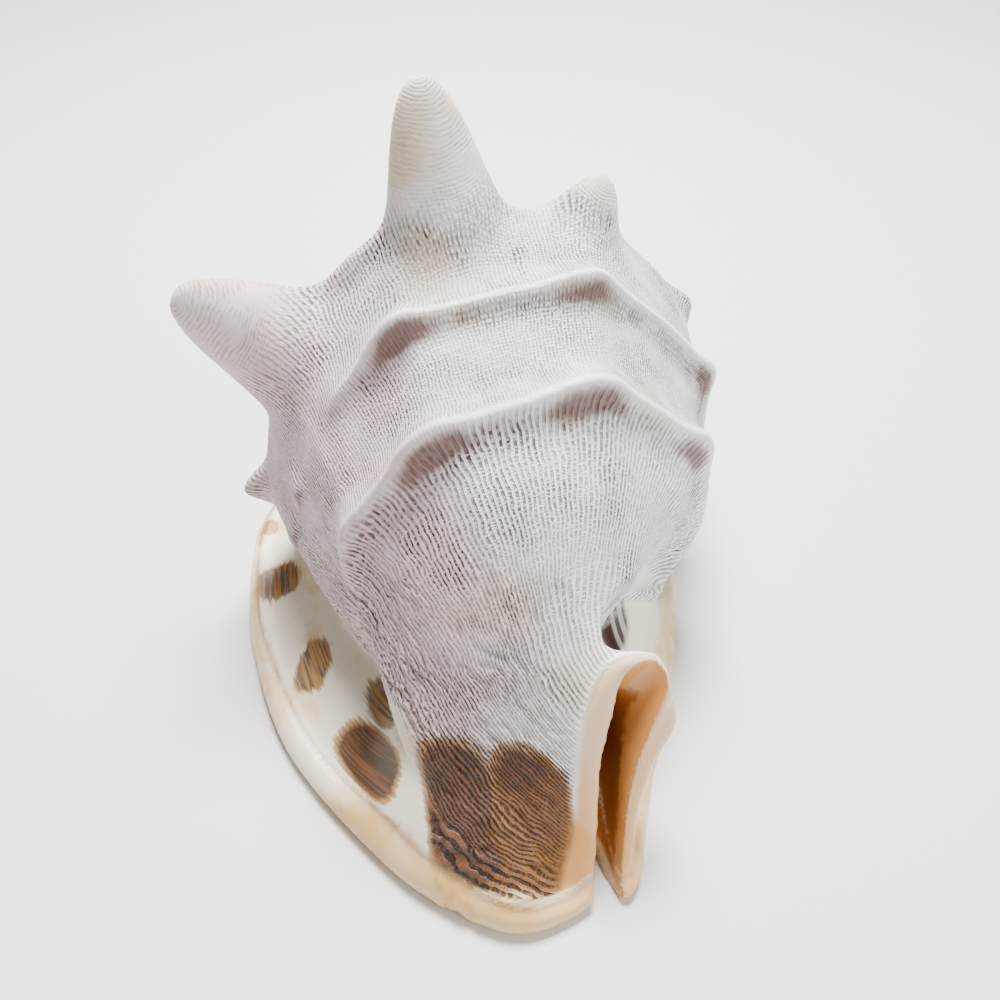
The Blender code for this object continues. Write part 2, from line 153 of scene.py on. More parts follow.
def ripple(places: np.ndarray, size: float, seed: int) -> np.ndarray:
    """Make a soft irregular wave in space.

    Args:
        places: points in millimetres.
        size: the usual distance between crests in millimetres.
        seed: which wave.

    Returns:
        A value from about -1 to 1 at each point.
    """
    chance = np.random.default_rng(seed)
    total = np.zeros(len(places))
    for _ in range(7):
        way = chance.normal(size=3)
        way *= chance.uniform(0.6, 1.6) / np.linalg.norm(way)
        total += np.sin(places @ way * 2 * math.pi / size + chance.uniform(0, 2 * math.pi))
    return total / 3.2


@dataclass(frozen=True)
class Knob:
    """One horn or knob of a row: where it stands around the whorl, its height and half width."""

    angle: float
    height: float
    half_width: float


@dataclass(frozen=True)
class Row:
    """A spiral ridge with its knobs."""

    along: float
    height: float
    fade: float
    knobs: tuple[Knob, ...]
    low_fall: float = 3.4
    high_fall: float = 10.0
    horn_from: float = 12.0

    def lift(self, angle: np.ndarray, y: np.ndarray, radius: np.ndarray) -> np.ndarray:
        """Work out how far the ridge and its knobs lift the skin.

        Args:
            angle: degrees around the axis.
            y: distance along the shell.
            radius: the plain whorl's radius there.

        Returns:
            The lift in millimetres.
        """
        off = y - self.along
        reach = smooth_step(-35, -5, angle) * (1 - smooth_step(self.fade - 14, self.fade + 14, angle))
        crest = np.where(off < 0, np.exp(-((off / 2.8) ** 2)), np.exp(-((off / 8.0) ** 2)))
        lift = self.height * reach * crest
        for knob in self.knobs:
            around = np.radians(angle_gap(angle, knob.angle)) * radius
            if knob.height > self.horn_from:
                apart = np.hypot(around, off) / knob.half_width
                lift = lift + knob.height * np.exp(-0.7 * apart**2.2)
            else:
                length = np.where(off < 0, self.low_fall, self.high_fall)
                apart = np.hypot(around / knob.half_width, off / length)
                lift = lift + knob.height * np.exp(-(apart**2))
        return lift


SHOULDER_ROW = Row(176.0, 1.0, 150, (
    Knob(97.3, 47, 11.0), Knob(142, 40.5, 12), Knob(64, 15, 9), Knob(22, 4, 9), Knob(3, 3, 8),
    Knob(184, 10, 7), Knob(-25, 7, 9), Knob(119, 5, 17),
))
MIDDLE_ROW = Row(139.0, 5.0, 132, (
    Knob(114, 5, 10), Knob(70, 4, 11), Knob(20, 3.5, 8), Knob(134, 1.5, 7), Knob(163, 3.2, 5),
    Knob(178, 3, 5),
))
LOWER_ROW = Row(103.0, 5.4, 160, (
    Knob(118, 5, 11), Knob(74, 4.5, 12), Knob(28, 4, 8), Knob(152, 1, 12),
))


@dataclass
class Whorl:
    """The body whorl with its rows of knobs, and the low spire behind it."""

    axis_x: float = 10.0
    axis_z: float = 50.0
    axis_shear: float = 0.153
    floor_drop: float = 42.0
    left_flattening: float = 0.06
    right_flattening: float = 0.02
    profile: Points = (
        (92, 57.5), (104, 65), (122, 73.5), (141, 79.5), (160, 85.5), (176, 88), (185, 83),
        (192, 72), (201, 57), (209, 40), (216, 24), (221, 11), (224, 0.4),
    )
    corners: tuple[float, ...] = (-20, 22, 68, 112, 146, 182, 216)
    flat_between_knobs: float = 0.5
    spire_start: float = 78.0
    spire_knobs: int = 11
    growth: float = 1.6
    rows: tuple[Row, ...] = (SHOULDER_ROW, MIDDLE_ROW, LOWER_ROW)

    def flat_sides(self, angle: np.ndarray) -> np.ndarray:
        """Give the radius factor that flattens the whorl between two lines of knobs."""
        corners = np.asarray(self.corners, float)
        i = np.clip(np.searchsorted(corners, angle, "right") - 1, 0, len(corners) - 2)
        half = np.radians(corners[i + 1] - corners[i]) / 2
        middle = np.radians(corners[i + 1] + corners[i]) / 2
        off = np.clip(np.radians(angle) - middle, -half, half)
        chord = np.cos(half) / np.cos(off)
        inside = (angle > corners[0]) & (angle < corners[-1])
        return np.where(inside, 1 - self.flat_between_knobs * (1 - chord), 1)

    def run(self) -> np.ndarray:
        """Measure the profile's length up to each of its points."""
        points = np.asarray(self.profile, float)
        return np.concatenate([[0], np.cumsum(np.hypot(*np.diff(points, axis=0).T))])

    def profile_at(self, t: np.ndarray) -> tuple[np.ndarray, np.ndarray]:
        """Read the profile.

        Args:
            t: from 0 at the neck to 1 at the apex.

        Returns:
            The distance along the shell, and the radius.
        """
        points = np.asarray(self.profile, float)
        run = self.run() / self.run()[-1]
        return (
            smooth_curve(t, np.column_stack([run, points[:, 0]])),
            smooth_curve(t, np.column_stack([run, points[:, 1]])),
        )

    def spire_relief(self, angle: np.ndarray, y: np.ndarray, radius: np.ndarray) -> np.ndarray:
        """Work out the older whorls: a spiral suture with a row of small knobs above it."""
        size = np.clip(radius, 1.0, None)
        turns = np.log(self.spire_start / size) / math.log(self.growth)
        part = (turns + (angle + 90) / 360) % 1
        suture = -0.05 * np.exp(-((np.minimum(part, 1 - part) / 0.10) ** 2))
        beads = 0.5 + 0.5 * np.cos(np.radians(angle) * self.spire_knobs)
        keel = (0.035 + 0.06 * beads) * np.exp(-(((part - 0.4) / 0.17) ** 2))
        return size * (suture + keel) * smooth_step(186, 194, y) * smooth_step(1, 6, radius)

    def outward(self, angle: np.ndarray, radius: np.ndarray, drop: float) -> np.ndarray:
        """Flatten a radius on the lip's side and where it would pass the floor.

        Args:
            angle: degrees around the axis.
            radius: the round whorl's radius.
            drop: how far below the axis the skin may reach.

        Returns:
            The flattened radius.
        """
        cosine, sine = np.cos(np.radians(angle)), np.sin(np.radians(angle))
        radius = radius * (1 - self.left_flattening * np.clip(-cosine, 0, 1) ** 2)
        radius = radius * (1 - self.right_flattening * np.clip(cosine, 0, 1) ** 2)
        floor = drop / np.clip(-sine, 0.02, 1)
        return np.where(sine < -0.02, (radius**-8.0 + floor**-8.0) ** (-1 / 8), radius)

    def point(self, angle: np.ndarray, t: np.ndarray) -> np.ndarray:
        """Place a point of the body whorl or the spire."""
        y, radius = self.profile_at(t)
        cosine, sine = np.cos(np.radians(angle)), np.sin(np.radians(angle))
        spire = smooth_step(0, 1, (y - 184) / 20)
        radius = radius * (self.flat_sides(angle) * (1 - spire) + spire)
        radius = self.outward(angle, radius, self.floor_drop)
        lift = sum(row.lift(angle, y, radius) for row in self.rows)
        lift = lift * smooth_step(-0.75, -0.3, sine)
        whole = radius + lift
        lean = 0.16 * np.clip(lift - 10, 0, 60)
        x = self.axis_x + whole * cosine
        shear = self.axis_shear * (x - self.axis_x)
        y = y + lean + shear + self.spire_relief(angle, y, radius)
        return vector(x, y, self.axis_z + whole * sine)


@dataclass
class Canal:
    """The siphonal canal: its mouth, the neck that carries it and its hollow."""

    bottom: tuple[float, float, float] = (16.5, 5.0, 1.0)
    top: tuple[float, float, float] = (29.6, 44.6, 68.0)
    rim_left: Points = (
        (-1, 20), (-0.66, 15.2), (-0.4, 12.2), (-0.07, 11.8), (0.26, 12.4), (0.51, 12.9), (1, 14),
    )
    rim_right: Points = (
        (-1, 8.6), (-0.66, 6.3), (-0.32, 5.8), (-0.1, 7.2), (0.07, 9), (0.26, 13.3), (0.44, 16.3),
        (0.61, 15.3), (0.78, 15), (1, 12),
    )
    hollow_half: Points = (
        (-1, 5.0), (-0.6, 4.0), (-0.2, 3.6), (0, 3.8), (0.2, 4.5), (0.4, 5.9), (0.6, 7.6),
        (0.8, 10.2), (1, 12.0),
    )
    hollow_middle: Points = (
        (-1, -3.4), (-0.6, -3.0), (-0.2, -3.2), (0, -3.3), (0.2, -3.0), (0.4, -1.6), (0.6, 0.8),
        (0.8, 3.0), (1, 3.2),
    )
    hollow_drop: float = 8.3
    belly: tuple[float, float, float] = (-15.0, -11.0, 0.0)
    waist: tuple[float, float, float] = (-24.0, 0.0, 5.0)
    left_lead: tuple[float, float, float] = (-17.0, 12.0, -2.0)
    turn_on: float = 42.0

    def frame(self) -> tuple[np.ndarray, np.ndarray, float, np.ndarray]:
        """Give the mouth's centre, its long direction, its half length and the way back inside."""
        bottom, top = np.asarray(self.bottom), np.asarray(self.top)
        long_way = (top - bottom) / np.linalg.norm(top - bottom)
        back = np.cross((1.0, 0, 0), long_way)
        back = back / np.linalg.norm(back)
        if back[1] < 0:
            back = -back
        return (top + bottom) / 2, long_way, np.linalg.norm(top - bottom) / 2, back

    def rim(self, angle: np.ndarray) -> np.ndarray:
        """Place a point of the canal's rim."""
        centre, long_way, half_length, _ = self.frame()
        turned = np.radians(angle + self.turn_on)
        high, wide = np.sin(turned), np.cos(turned)
        right, left = smooth_curve(high, self.rim_right), smooth_curve(high, self.rim_left)
        across = np.sign(wide) * np.abs(wide) ** 0.6 * np.where(wide > 0, right, left)
        return centre + vector(across, 0, 0) + (high * half_length)[..., None] * long_way

    def neck(self, whorl: Whorl, angle: np.ndarray, v: np.ndarray) -> np.ndarray:
        """Place a point between the canal's rim and the whorl.

        Args:
            whorl: the whorl that the neck grows from.
            angle: degrees around the axis.
            v: from 0 at the rim to 1 at the whorl.

        Returns:
            The points.
        """
        _, _, _, back = self.frame()
        zero = np.zeros_like(angle)
        first = self.rim(angle)
        last = whorl.point(angle, zero)
        ahead = whorl.point(angle, zero + 0.01) - last
        ahead = ahead / np.linalg.norm(ahead, axis=-1, keepdims=True)
        right_side = np.clip(np.cos(np.radians(angle + 8)), 0, 1)[..., None]
        turned = np.radians(angle + self.turn_on)
        sideways = np.clip(-np.cos(turned), 0, 1)[..., None] ** 0.7
        lead = back * (24.0 - 4.0 * right_side)
        near = first + lead + (np.asarray(self.left_lead) - lead) * sideways
        far = last - ahead * (27.0 + 14.0 * right_side)
        v = v[..., None]
        lip_side = np.exp(-((angle_gap(angle, 205) / 38.0) ** 2))[..., None]
        belly = np.asarray(self.belly) * lip_side * (4 * v * (1 - v))
        shield_side = np.exp(-((angle_gap(angle, -14) / 40.0) ** 2))[..., None]
        waist = np.asarray(self.waist) * shield_side * (6.75 * v**2 * (1 - v))
        return (
            belly + waist + (1 - v) ** 3 * first + 3 * (1 - v) ** 2 * v * near
            + 3 * (1 - v) * v**2 * far + v**3 * last
        )

    def hollow(self, turn: np.ndarray, rise: np.ndarray) -> np.ndarray:
        """Place a point of the canal's hollow, which runs back into the aperture."""
        centre, long_way, _, back = self.frame()
        around = turn * 2 * math.pi
        end = np.sqrt(np.clip(1 - (2 * rise - 1) ** 12, 0, 1))
        high, wide = np.sin(around), np.cos(around)
        centre = centre - long_way * self.hollow_drop
        start = centre - back * 14
        stops = (0, 0.2, 0.45, 0.7, 1)
        course = vector(
            smooth_curve(rise, tuple(zip(stops, (start[0], centre[0], 18, 5, -8)))),
            smooth_curve(rise, tuple(zip(stops, (start[1], centre[1], 46, 68, 92)))),
            smooth_curve(rise, tuple(zip(stops, (start[2], centre[2], 36, 34, 28)))),
        )
        tall = smooth_curve(rise, ((0, 45), (0.2, 45), (0.45, 15), (0.7, 12), (1, 14)))
        deep = smooth_step(0.2, 0.5, rise)
        half = smooth_curve(high, self.hollow_half) * (1 - deep) + 4.4 * deep
        lean = smooth_curve(high, self.hollow_middle) * (1 - deep)
        across = np.sign(wide) * np.abs(wide) ** 0.7 * half * end + lean
        stand = smooth_step(0.2, 0.7, rise)[..., None]
        upright = long_way * (1 - stand) + np.array([0, 0, 1.0]) * stand
        return course + vector(across, 0, 0) + (high * tall * end)[..., None] * upright


@dataclass
class Hull:
    """The outside from the canal's rim to the apex."""

    whorl: Whorl = field(default_factory=Whorl)
    canal: Canal = field(default_factory=Canal)
    neck_share: float = 0.42
    neck_length: float = 112.0

    def point(self, turn: np.ndarray, rise: np.ndarray) -> np.ndarray:
        """Place a point: turn goes once around, rise from the canal's mouth to the apex."""
        angle = turn * 360 - 90
        neck = self.canal.neck(self.whorl, angle, np.clip(rise / self.neck_share, 0, 1))
        neck = np.where((rise <= 0)[..., None], self.canal.frame()[0], neck)
        t = np.clip((rise - self.neck_share) / (1 - self.neck_share), 0, 1)
        return np.where((rise < self.neck_share)[..., None], neck, self.whorl.point(angle, t))

    def length(self, rise: np.ndarray) -> np.ndarray:
        """Measure the way along the skin from the canal's rim, in millimetres."""
        whorl_run = self.whorl.run()[-1]
        on_neck = np.clip(rise / self.neck_share, 0, 1) * self.neck_length
        on_whorl = np.clip((rise - self.neck_share) / (1 - self.neck_share), 0, 1) * whorl_run
        return on_neck + on_whorl


@dataclass
class Flange:
    """The lip and the shield, spread around the foot."""

    rim: Points = (
        (-26, 6.6), (-49, 28), (-77, 74.7), (-87, 120), (-87, 153.4), (-80, 186),
        (-60, 208), (-20, 212), (30, 205), (62, 182), (77, 150), (76.5, 125), (68.3, 100),
        (55, 68), (42.2, 45.7), (34, 28), (27, 12), (21, 4.5), (10, 4.5), (0, 1.5), (-13, 0.5),
    )
    centre: tuple[float, float] = (0.0, 112.0)
    lip_top: Points = (
        (0, 4), (0.6, 6.4), (2, 8.2), (5, 9.2), (9, 8.0), (14, 9.0), (30, 16), (55, 30),
    )
    front_top: Points = ((0, 4), (0.6, 6.4), (2, 8.5), (6, 12), (14, 21), (28, 32), (55, 42))
    shield_top: Points = ((0, 3.2), (0.6, 5), (2, 6), (6, 6.6), (14, 8), (30, 20), (55, 34))
    callus_top: Points = (
        (0, 3.2), (0.6, 5.2), (2, 7.5), (6, 13), (13, 25), (22, 40), (34, 50), (55, 50),
    )
    underside: Points = (
        (0, 3.4), (0.8, 0.6), (2.5, -0.8), (10, -0.9), (18, 2.5), (35, 6.0), (80, 8.0),
    )

    def reach(self, turn: np.ndarray, rise: np.ndarray) -> tuple[np.ndarray, np.ndarray]:
        """Give the rim's point in plan, and how far inwards from it the skin is."""
        edge = closed_curve(turn * len(self.rim), self.rim)
        away = np.linalg.norm(edge - np.asarray(self.centre), axis=-1)
        return edge, away * (1 - np.sin(rise * math.pi))

    def point(self, turn: np.ndarray, rise: np.ndarray) -> np.ndarray:
        """Place a point: rise goes from the underside over the rim to the top."""
        edge, inward = self.reach(turn, rise)
        centre = np.asarray(self.centre)
        plan = centre + (edge - centre) * np.sin(rise * math.pi)[..., None]
        x, y = edge[..., 0], edge[..., 1]
        front = smooth_step(60, 20, y) * smooth_step(10, -10, x)
        lip = smooth_curve(inward, self.lip_top)
        lip = lip + (smooth_curve(inward, self.front_top) - lip) * front
        callus = smooth_step(118, 92, y) * smooth_step(30, 52, y) * smooth_step(30, 45, x)
        shield = smooth_curve(inward, self.shield_top)
        shield = shield + (smooth_curve(inward, self.callus_top) - shield) * callus
        top = shield + (lip - shield) * smooth_step(20, -40, x)
        z = np.where(rise > 0.5, top, smooth_curve(inward, self.underside))
        return vector(plan[..., 0], plan[..., 1], z)


@dataclass
class Hollows:
    """The spaces inside: the whorl's hollow, the slit of the aperture and the pocket."""

    whorl: Whorl = field(default_factory=Whorl)
    lumen_outer: Points = (
        (81, 18), (92, 28), (104, 40), (122, 58), (141, 71), (160, 79), (172, 79), (181, 72),
    )
    lumen_inner: Points = ((81, 16), (120, 12), (181, 20))
    slit_course: Points = (
        (-4, 12), (15, 10.5), (35, 5), (60, -4), (90, -12), (120, -14), (150, -8), (172, 3),
    )
    slit_height: Points = ((-4, 2), (10, 4), (24, 9), (45, 18), (70, 25), (100, 27), (172, 27))
    slit_width: Points = (
        (-4, 3), (15, 4.5), (35, 6), (60, 8), (90, 9.5), (120, 9), (150, 7), (172, 4),
    )
    tooth_pitch: float = 15.0
    pocket_centre: tuple[float, float, float] = (36.0, 77.0, 44.0)
    pocket_half: tuple[float, float, float] = (6.5, 12.0, 9.0)
    pocket_turn: float = -22.0
    fold: Points = (
        (44, 24), (49, 22), (54, 20.7), (59.5, 21.7), (65.6, 25.3), (69, 31), (73, 37.5),
        (80.6, 44.5), (92.3, 52.5), (102, 62), (112, 82),
    )
    fold_height: Points = ((44, 66), (60, 65), (71, 65), (92, 60), (112, 54))
    valley_floor: Points = ((44, 51), (60, 49), (71, 46), (82, 42), (92, 32), (112, 10))
    valley_slope: float = 1.1
    valley_flat: float = 11.0
    undercut: float = 0.55
    undercut_depth: float = 17.0

    def lumen(self, turn: np.ndarray, rise: np.ndarray) -> np.ndarray:
        """Place a point of the hollow that winds round the pillar."""
        angle = -62 + 315 * rise
        around = turn * 2 * math.pi
        end = np.sqrt(np.clip(1 - (2 * rise - 1) ** 12, 0, 1))
        a = np.sign(np.cos(around)) * np.abs(np.cos(around)) ** 0.7 * end
        b = np.sign(np.sin(around)) * np.abs(np.sin(around)) ** 0.7 * end
        y = 131 + 50 * b
        cosine, sine = np.cos(np.radians(angle)), np.sin(np.radians(angle))
        outer = smooth_curve(y, self.lumen_outer) * self.whorl.flat_sides(angle)
        outer = self.whorl.outward(angle, outer, self.whorl.floor_drop - 6)
        inner = np.minimum(smooth_curve(y, self.lumen_inner), outer - 8)
        radius = (inner + outer) / 2 + (outer - inner) / 2 * a
        x = self.whorl.axis_x + radius * cosine
        y = y + self.whorl.axis_shear * (x - self.whorl.axis_x)
        return vector(x, y, self.whorl.axis_z + radius * sine)

    def slit(self, turn: np.ndarray, rise: np.ndarray) -> np.ndarray:
        """Place a point of the aperture, a curved slot with teeth along its outer edge."""
        around = turn * 2 * math.pi
        end = np.sqrt(np.clip(1 - (2 * rise - 1) ** 10, 0, 1))
        y = -4 + 176 * rise
        a = np.sign(np.cos(around)) * np.abs(np.cos(around)) ** 0.5
        b = np.sign(np.sin(around)) * np.abs(np.sin(around)) ** 0.5
        width = smooth_curve(y, self.slit_width)
        wave = np.clip(np.sin(y / self.tooth_pitch * 2 * math.pi), 0, 1)
        teeth = 2.2 * wave * smooth_step(30, 50, y) * smooth_step(165, 150, y)
        half = np.where(a < 0, width - teeth, width) * end
        z = np.where(b > 0, smooth_curve(y, self.slit_height) * b, 8 * b)
        return vector(smooth_curve(y, self.slit_course) + half * a, y, z)

    def valley(self, turn: np.ndarray, rise: np.ndarray) -> np.ndarray:
        """Place a point of the open space between the whorl's fold and the shield."""
        around = turn * 2 * math.pi
        end = np.clip(1 - (2 * rise - 1) ** 14, 0, 1) ** 0.5
        y = 47 + 63 * rise
        a = np.sign(np.cos(around)) * np.abs(np.cos(around)) ** 0.4 * end
        b = np.sign(np.sin(around)) * np.abs(np.sin(around)) ** 0.4 * end
        out = 30 * (1 + a)
        fall = self.valley_slope * np.maximum(out - self.valley_flat, 0)
        z = smooth_curve(y, self.valley_floor) - fall + 40 * (1 + b)
        below = smooth_curve(y, self.fold_height) - z
        under = -self.undercut * np.minimum(below, self.undercut_depth)
        lean = np.where(below > 0, under, -0.3 * below)
        return vector(smooth_curve(y, self.fold) + out + lean * (1 - a) / 2, y, z)

    def pocket(self, turn: np.ndarray, rise: np.ndarray) -> np.ndarray:
        """Place a point of the pit between the canal and the shield."""
        around = turn * 2 * math.pi
        ring = np.sin(rise * math.pi)
        centre, half = self.pocket_centre, self.pocket_half
        c, s = math.cos(math.radians(self.pocket_turn)), math.sin(math.radians(self.pocket_turn))
        x = half[0] * ring * np.cos(around)
        y = -half[1] * np.cos(rise * math.pi)
        z = half[2] * ring * np.sin(around)
        return vector(centre[0] + x * c - y * s, centre[1] + x * s + y * c, centre[2] + z)


def vertex_places(mesh: bpy.types.Mesh) -> np.ndarray:
    """Read a mesh's points, in metres."""
    flat = np.empty(len(mesh.vertices) * 3, np.float32)
    mesh.vertices.foreach_get("co", flat)
    return flat.reshape(-1, 3).astype(float)


def set_vertex_places(mesh: bpy.types.Mesh, places: np.ndarray) -> None:
    """Write a mesh's points, in metres."""
    mesh.vertices.foreach_set("co", places.astype(np.float32).ravel())
    mesh.update()


@dataclass
class Form:
    """A closed form: a sphere whose turn and rise, each from 0 to 1, are mapped to a shape."""

    region: Region
    point_at: PointAt
    around: int
    along: int

    def build(self) -> bpy.types.Object:
        """Make the form's object, and keep what finds a place's turn and rise."""
        mesh = bpy.data.meshes.new(self.region.value)
        bm = bmesh.new()
        bmesh.ops.create_uvsphere(bm, u_segments=self.around, v_segments=self.along, radius=1)
        bmesh.ops.triangulate(bm, faces=bm.faces)
        bm.to_mesh(mesh)
        bm.free()
        x, y, z = vertex_places(mesh).T
        self.turn = np.arctan2(y, x) / (2 * math.pi) % 1
        self.rise = np.arccos(np.clip(-z, -1, 1)) / math.pi
        set_vertex_places(mesh, self.point_at(self.turn, self.rise) * MM)
        bm = bmesh.new()
        bm.from_mesh(mesh)
        self.tree = BVHTree.FromBMesh(bm)
        corners = np.empty(len(mesh.polygons) * 3, np.int32)
        mesh.polygons.foreach_get("vertices", corners)
        self.corners = corners.reshape(-1, 3)
        self.places = vertex_places(mesh)
        bmesh.ops.recalc_face_normals(bm, faces=bm.faces)
        bm.to_mesh(mesh)
        bm.free()
        obj = bpy.data.objects.new(self.region.value, mesh)
        bpy.context.collection.objects.link(obj)
        return obj

    def nearest(self, places: np.ndarray) -> tuple[np.ndarray, np.ndarray, np.ndarray]:
        """Find the nearest skin of this form.

        Args:
            places: points in metres.

        Returns:
            The turn, the rise and the distance in millimetres, for each point.
        """
        hits = np.array([(*hit[0], hit[2], hit[3]) for hit in map(self.tree.find_nearest, places)])
        near, index = hits[:, :3], hits[:, 3].astype(int)
        corner = self.corners[index]
        a, b, c = (self.places[corner[:, k]] for k in range(3))
        across, up, to = b - a, c - a, near - a
        aa, ab, bb = (across**2).sum(1), (across * up).sum(1), (up**2).sum(1)
        ta, tb = (to * across).sum(1), (to * up).sum(1)
        flat = np.maximum(aa * bb - ab * ab, 1e-30)
        v = np.clip((bb * ta - ab * tb) / flat, 0, 1)
        w = np.clip((aa * tb - ab * ta) / flat, 0, 1 - v)
        share = np.stack([1 - v - w, v, w], -1)
        turns = self.turn[corner]
        turns = np.where(turns < turns.max(1, keepdims=True) - 0.5, turns + 1, turns)
        turn = (turns * share).sum(1)
        rise = (self.rise[corner] * share).sum(1)
        return turn, rise, hits[:, 4] / MM


def apply_all(obj: bpy.types.Object) -> None:
    """Make the object's modifiers part of its mesh."""
    graph = bpy.context.evaluated_depsgraph_get()
    mesh = bpy.data.meshes.new_from_object(obj.evaluated_get(graph))
    obj.modifiers.clear()
    obj.data = mesh


def spread(mesh: bpy.types.Mesh, values: np.ndarray, share: "np.ndarray | float",
           passes: int) -> np.ndarray:
    """Even out values over a mesh.

    Args:
        mesh: the mesh.
        values: one row for each point.
        share: how far each point's row moves towards its neighbours' mean in one pass.
        passes: the number of passes.

    Returns:
        The evened rows.
    """
    ends = np.empty(len(mesh.edges) * 2, np.int32)
    mesh.edges.foreach_get("vertices", ends)
    first, second = ends.reshape(-1, 2).T
    count = len(mesh.vertices)
    neighbours = np.bincount(first, minlength=count) + np.bincount(second, minlength=count)
    values = np.array(values, float).reshape(count, -1)
    for _ in range(passes):
        total = np.stack([
            np.bincount(first, column[second], count) + np.bincount(second, column[first], count)
            for column in values.T
        ], -1)
        values = values + (total / neighbours[:, None] - values) * share
    return values


@dataclass
class Sculpt:
    """Joins the grown forms into one skin and hollows it; it also smooths, thins and stands the skin.
    """

    hull: Hull
    flange: Flange
    hollows: Hollows
    voxel: float = 1.25
    coarse_voxel: float = 2.2
    triangles: int = 190000
    rim_passes: int = 14
    foot_shift: tuple[float, float] = (3.5095, 112.1378)

    def __post_init__(self) -> None:
        """Set up the forms."""
        self.forms = {
            Region.HULL: Form(Region.HULL, self.hull.point, 300, 220),
            Region.FLANGE: Form(Region.FLANGE, self.flange.point, 260, 90),
            Region.LUMEN: Form(Region.LUMEN, self.hollows.lumen, 60, 90),
            Region.SLIT: Form(Region.SLIT, self.hollows.slit, 32, 150),
            Region.CANAL: Form(Region.CANAL, self.hull.canal.hollow, 64, 80),
            Region.POCKET: Form(Region.POCKET, self.hollows.pocket, 40, 40),
            Region.VALLEY: Form(Region.VALLEY, self.hollows.valley, 60, 60),
        }

    def even_skin(self, obj: bpy.types.Object, smoothing: int) -> None:
        """Rebuild the skin with even faces.

        Args:
            obj: the object.
            smoothing: how many passes of smoothing follow.
        """
        modifier = obj.modifiers.new("Even skin", "REMESH")
        modifier.mode = "VOXEL"
        modifier.voxel_size = self.voxel * MM
        smooth = obj.modifiers.new("Soften", "SMOOTH")
        smooth.factor = 0.5
        smooth.iterations = smoothing
        apply_all(obj)

    def joined(self, name: str) -> bpy.types.Object:
        """Put the hull and the flange into one object."""
        bm = bmesh.new()
        for region in (Region.HULL, Region.FLANGE):
            piece = self.forms[region].build()
            bm.from_mesh(piece.data)
            bpy.data.objects.remove(piece)
        mesh = bpy.data.meshes.new(name)
        bm.to_mesh(mesh)
        bm.free()
        obj = bpy.data.objects.new(name, mesh)
        bpy.context.collection.objects.link(obj)
        return obj

    def hollow_out(self, obj: bpy.types.Object) -> None:
        """Take the inner spaces out of the skin."""
        cutters = []
        for region in (Region.VALLEY, Region.LUMEN, Region.SLIT, Region.CANAL, Region.POCKET):
            cutter = self.forms[region].build()
            cutter.hide_render = True
            modifier = obj.modifiers.new(region.value, "BOOLEAN")
            modifier.operation = "DIFFERENCE"
            modifier.solver = "MANIFOLD"
            modifier.object = cutter
            cutters.append(cutter)
        apply_all(obj)
        for cutter in cutters:
            bpy.data.objects.remove(cutter)

    def build(self, name: str) -> bpy.types.Object:
        """Make the whole shell, still in its own frame."""
        obj = self.joined(name)
        self.even_skin(obj, 1)
        self.hollow_out(obj)
        self.even_skin(obj, 2)
        return obj

    def soften(self, obj: bpy.types.Object, share: np.ndarray) -> None:
        """Smooth a part of the skin.

        Args:
            obj: the object.
            share: from 0 to 1 for each point, how much of the smoothing it gets.
        """
        places = vertex_places(obj.data)
        places = spread(obj.data, places, 0.5 * share[:, None], self.rim_passes)
        set_vertex_places(obj.data, places)

    def thin_out(self, obj: bpy.types.Object) -> None:
        """Leave at most the wanted number of triangles, most where the skin bends."""
        bm = bmesh.new()
        bm.from_mesh(obj.data)
        bmesh.ops.triangulate(bm, faces=bm.faces)
        count = len(bm.faces)
        bm.to_mesh(obj.data)
        bm.free()
        if count > self.triangles:
            modifier = obj.modifiers.new("Fewer faces", "DECIMATE")
            modifier.ratio = self.triangles / count
            apply_all(obj)

    def stand(self, obj: bpy.types.Object) -> None:
        """Wear the foot flat at the floor, and move the shell over it."""
        places = vertex_places(obj.data)
        places[:, 2] = np.maximum(places[:, 2], 0)
        places[:, 0] -= self.foot_shift[0] * MM
        places[:, 1] -= self.foot_shift[1] * MM
        set_vertex_places(obj.data, places)


@dataclass(frozen=True)
class Patch:
    """A soft-edged patch of colour: an ellipsoid around a place on the skin."""

    centre: tuple[float, float, float]
    half: tuple[float, float, float]
    strength: float = 1.0
    turned: float = 0.0

    def mask(self, places: np.ndarray) -> np.ndarray:
        """Give how strongly each point, in millimetres, lies in the patch."""
        off = places - np.asarray(self.centre)
        c, s = math.cos(math.radians(self.turned)), math.sin(math.radians(self.turned))
        x = off[:, 0] * c + off[:, 1] * s
        y = off[:, 1] * c - off[:, 0] * s
        flat = (np.abs(x / self.half[0]) ** 3 + np.abs(y / self.half[1]) ** 3) ** (1 / 3)
        apart = np.hypot(flat, off[:, 2] / self.half[2])
        return self.strength * smooth_step(1.35, 0.65, apart)


def strongest(patches: Sequence[Patch], places: np.ndarray) -> np.ndarray:
    """Merge patches: the strongest at each point."""
    return np.max([patch.mask(places) for patch in patches], axis=0)


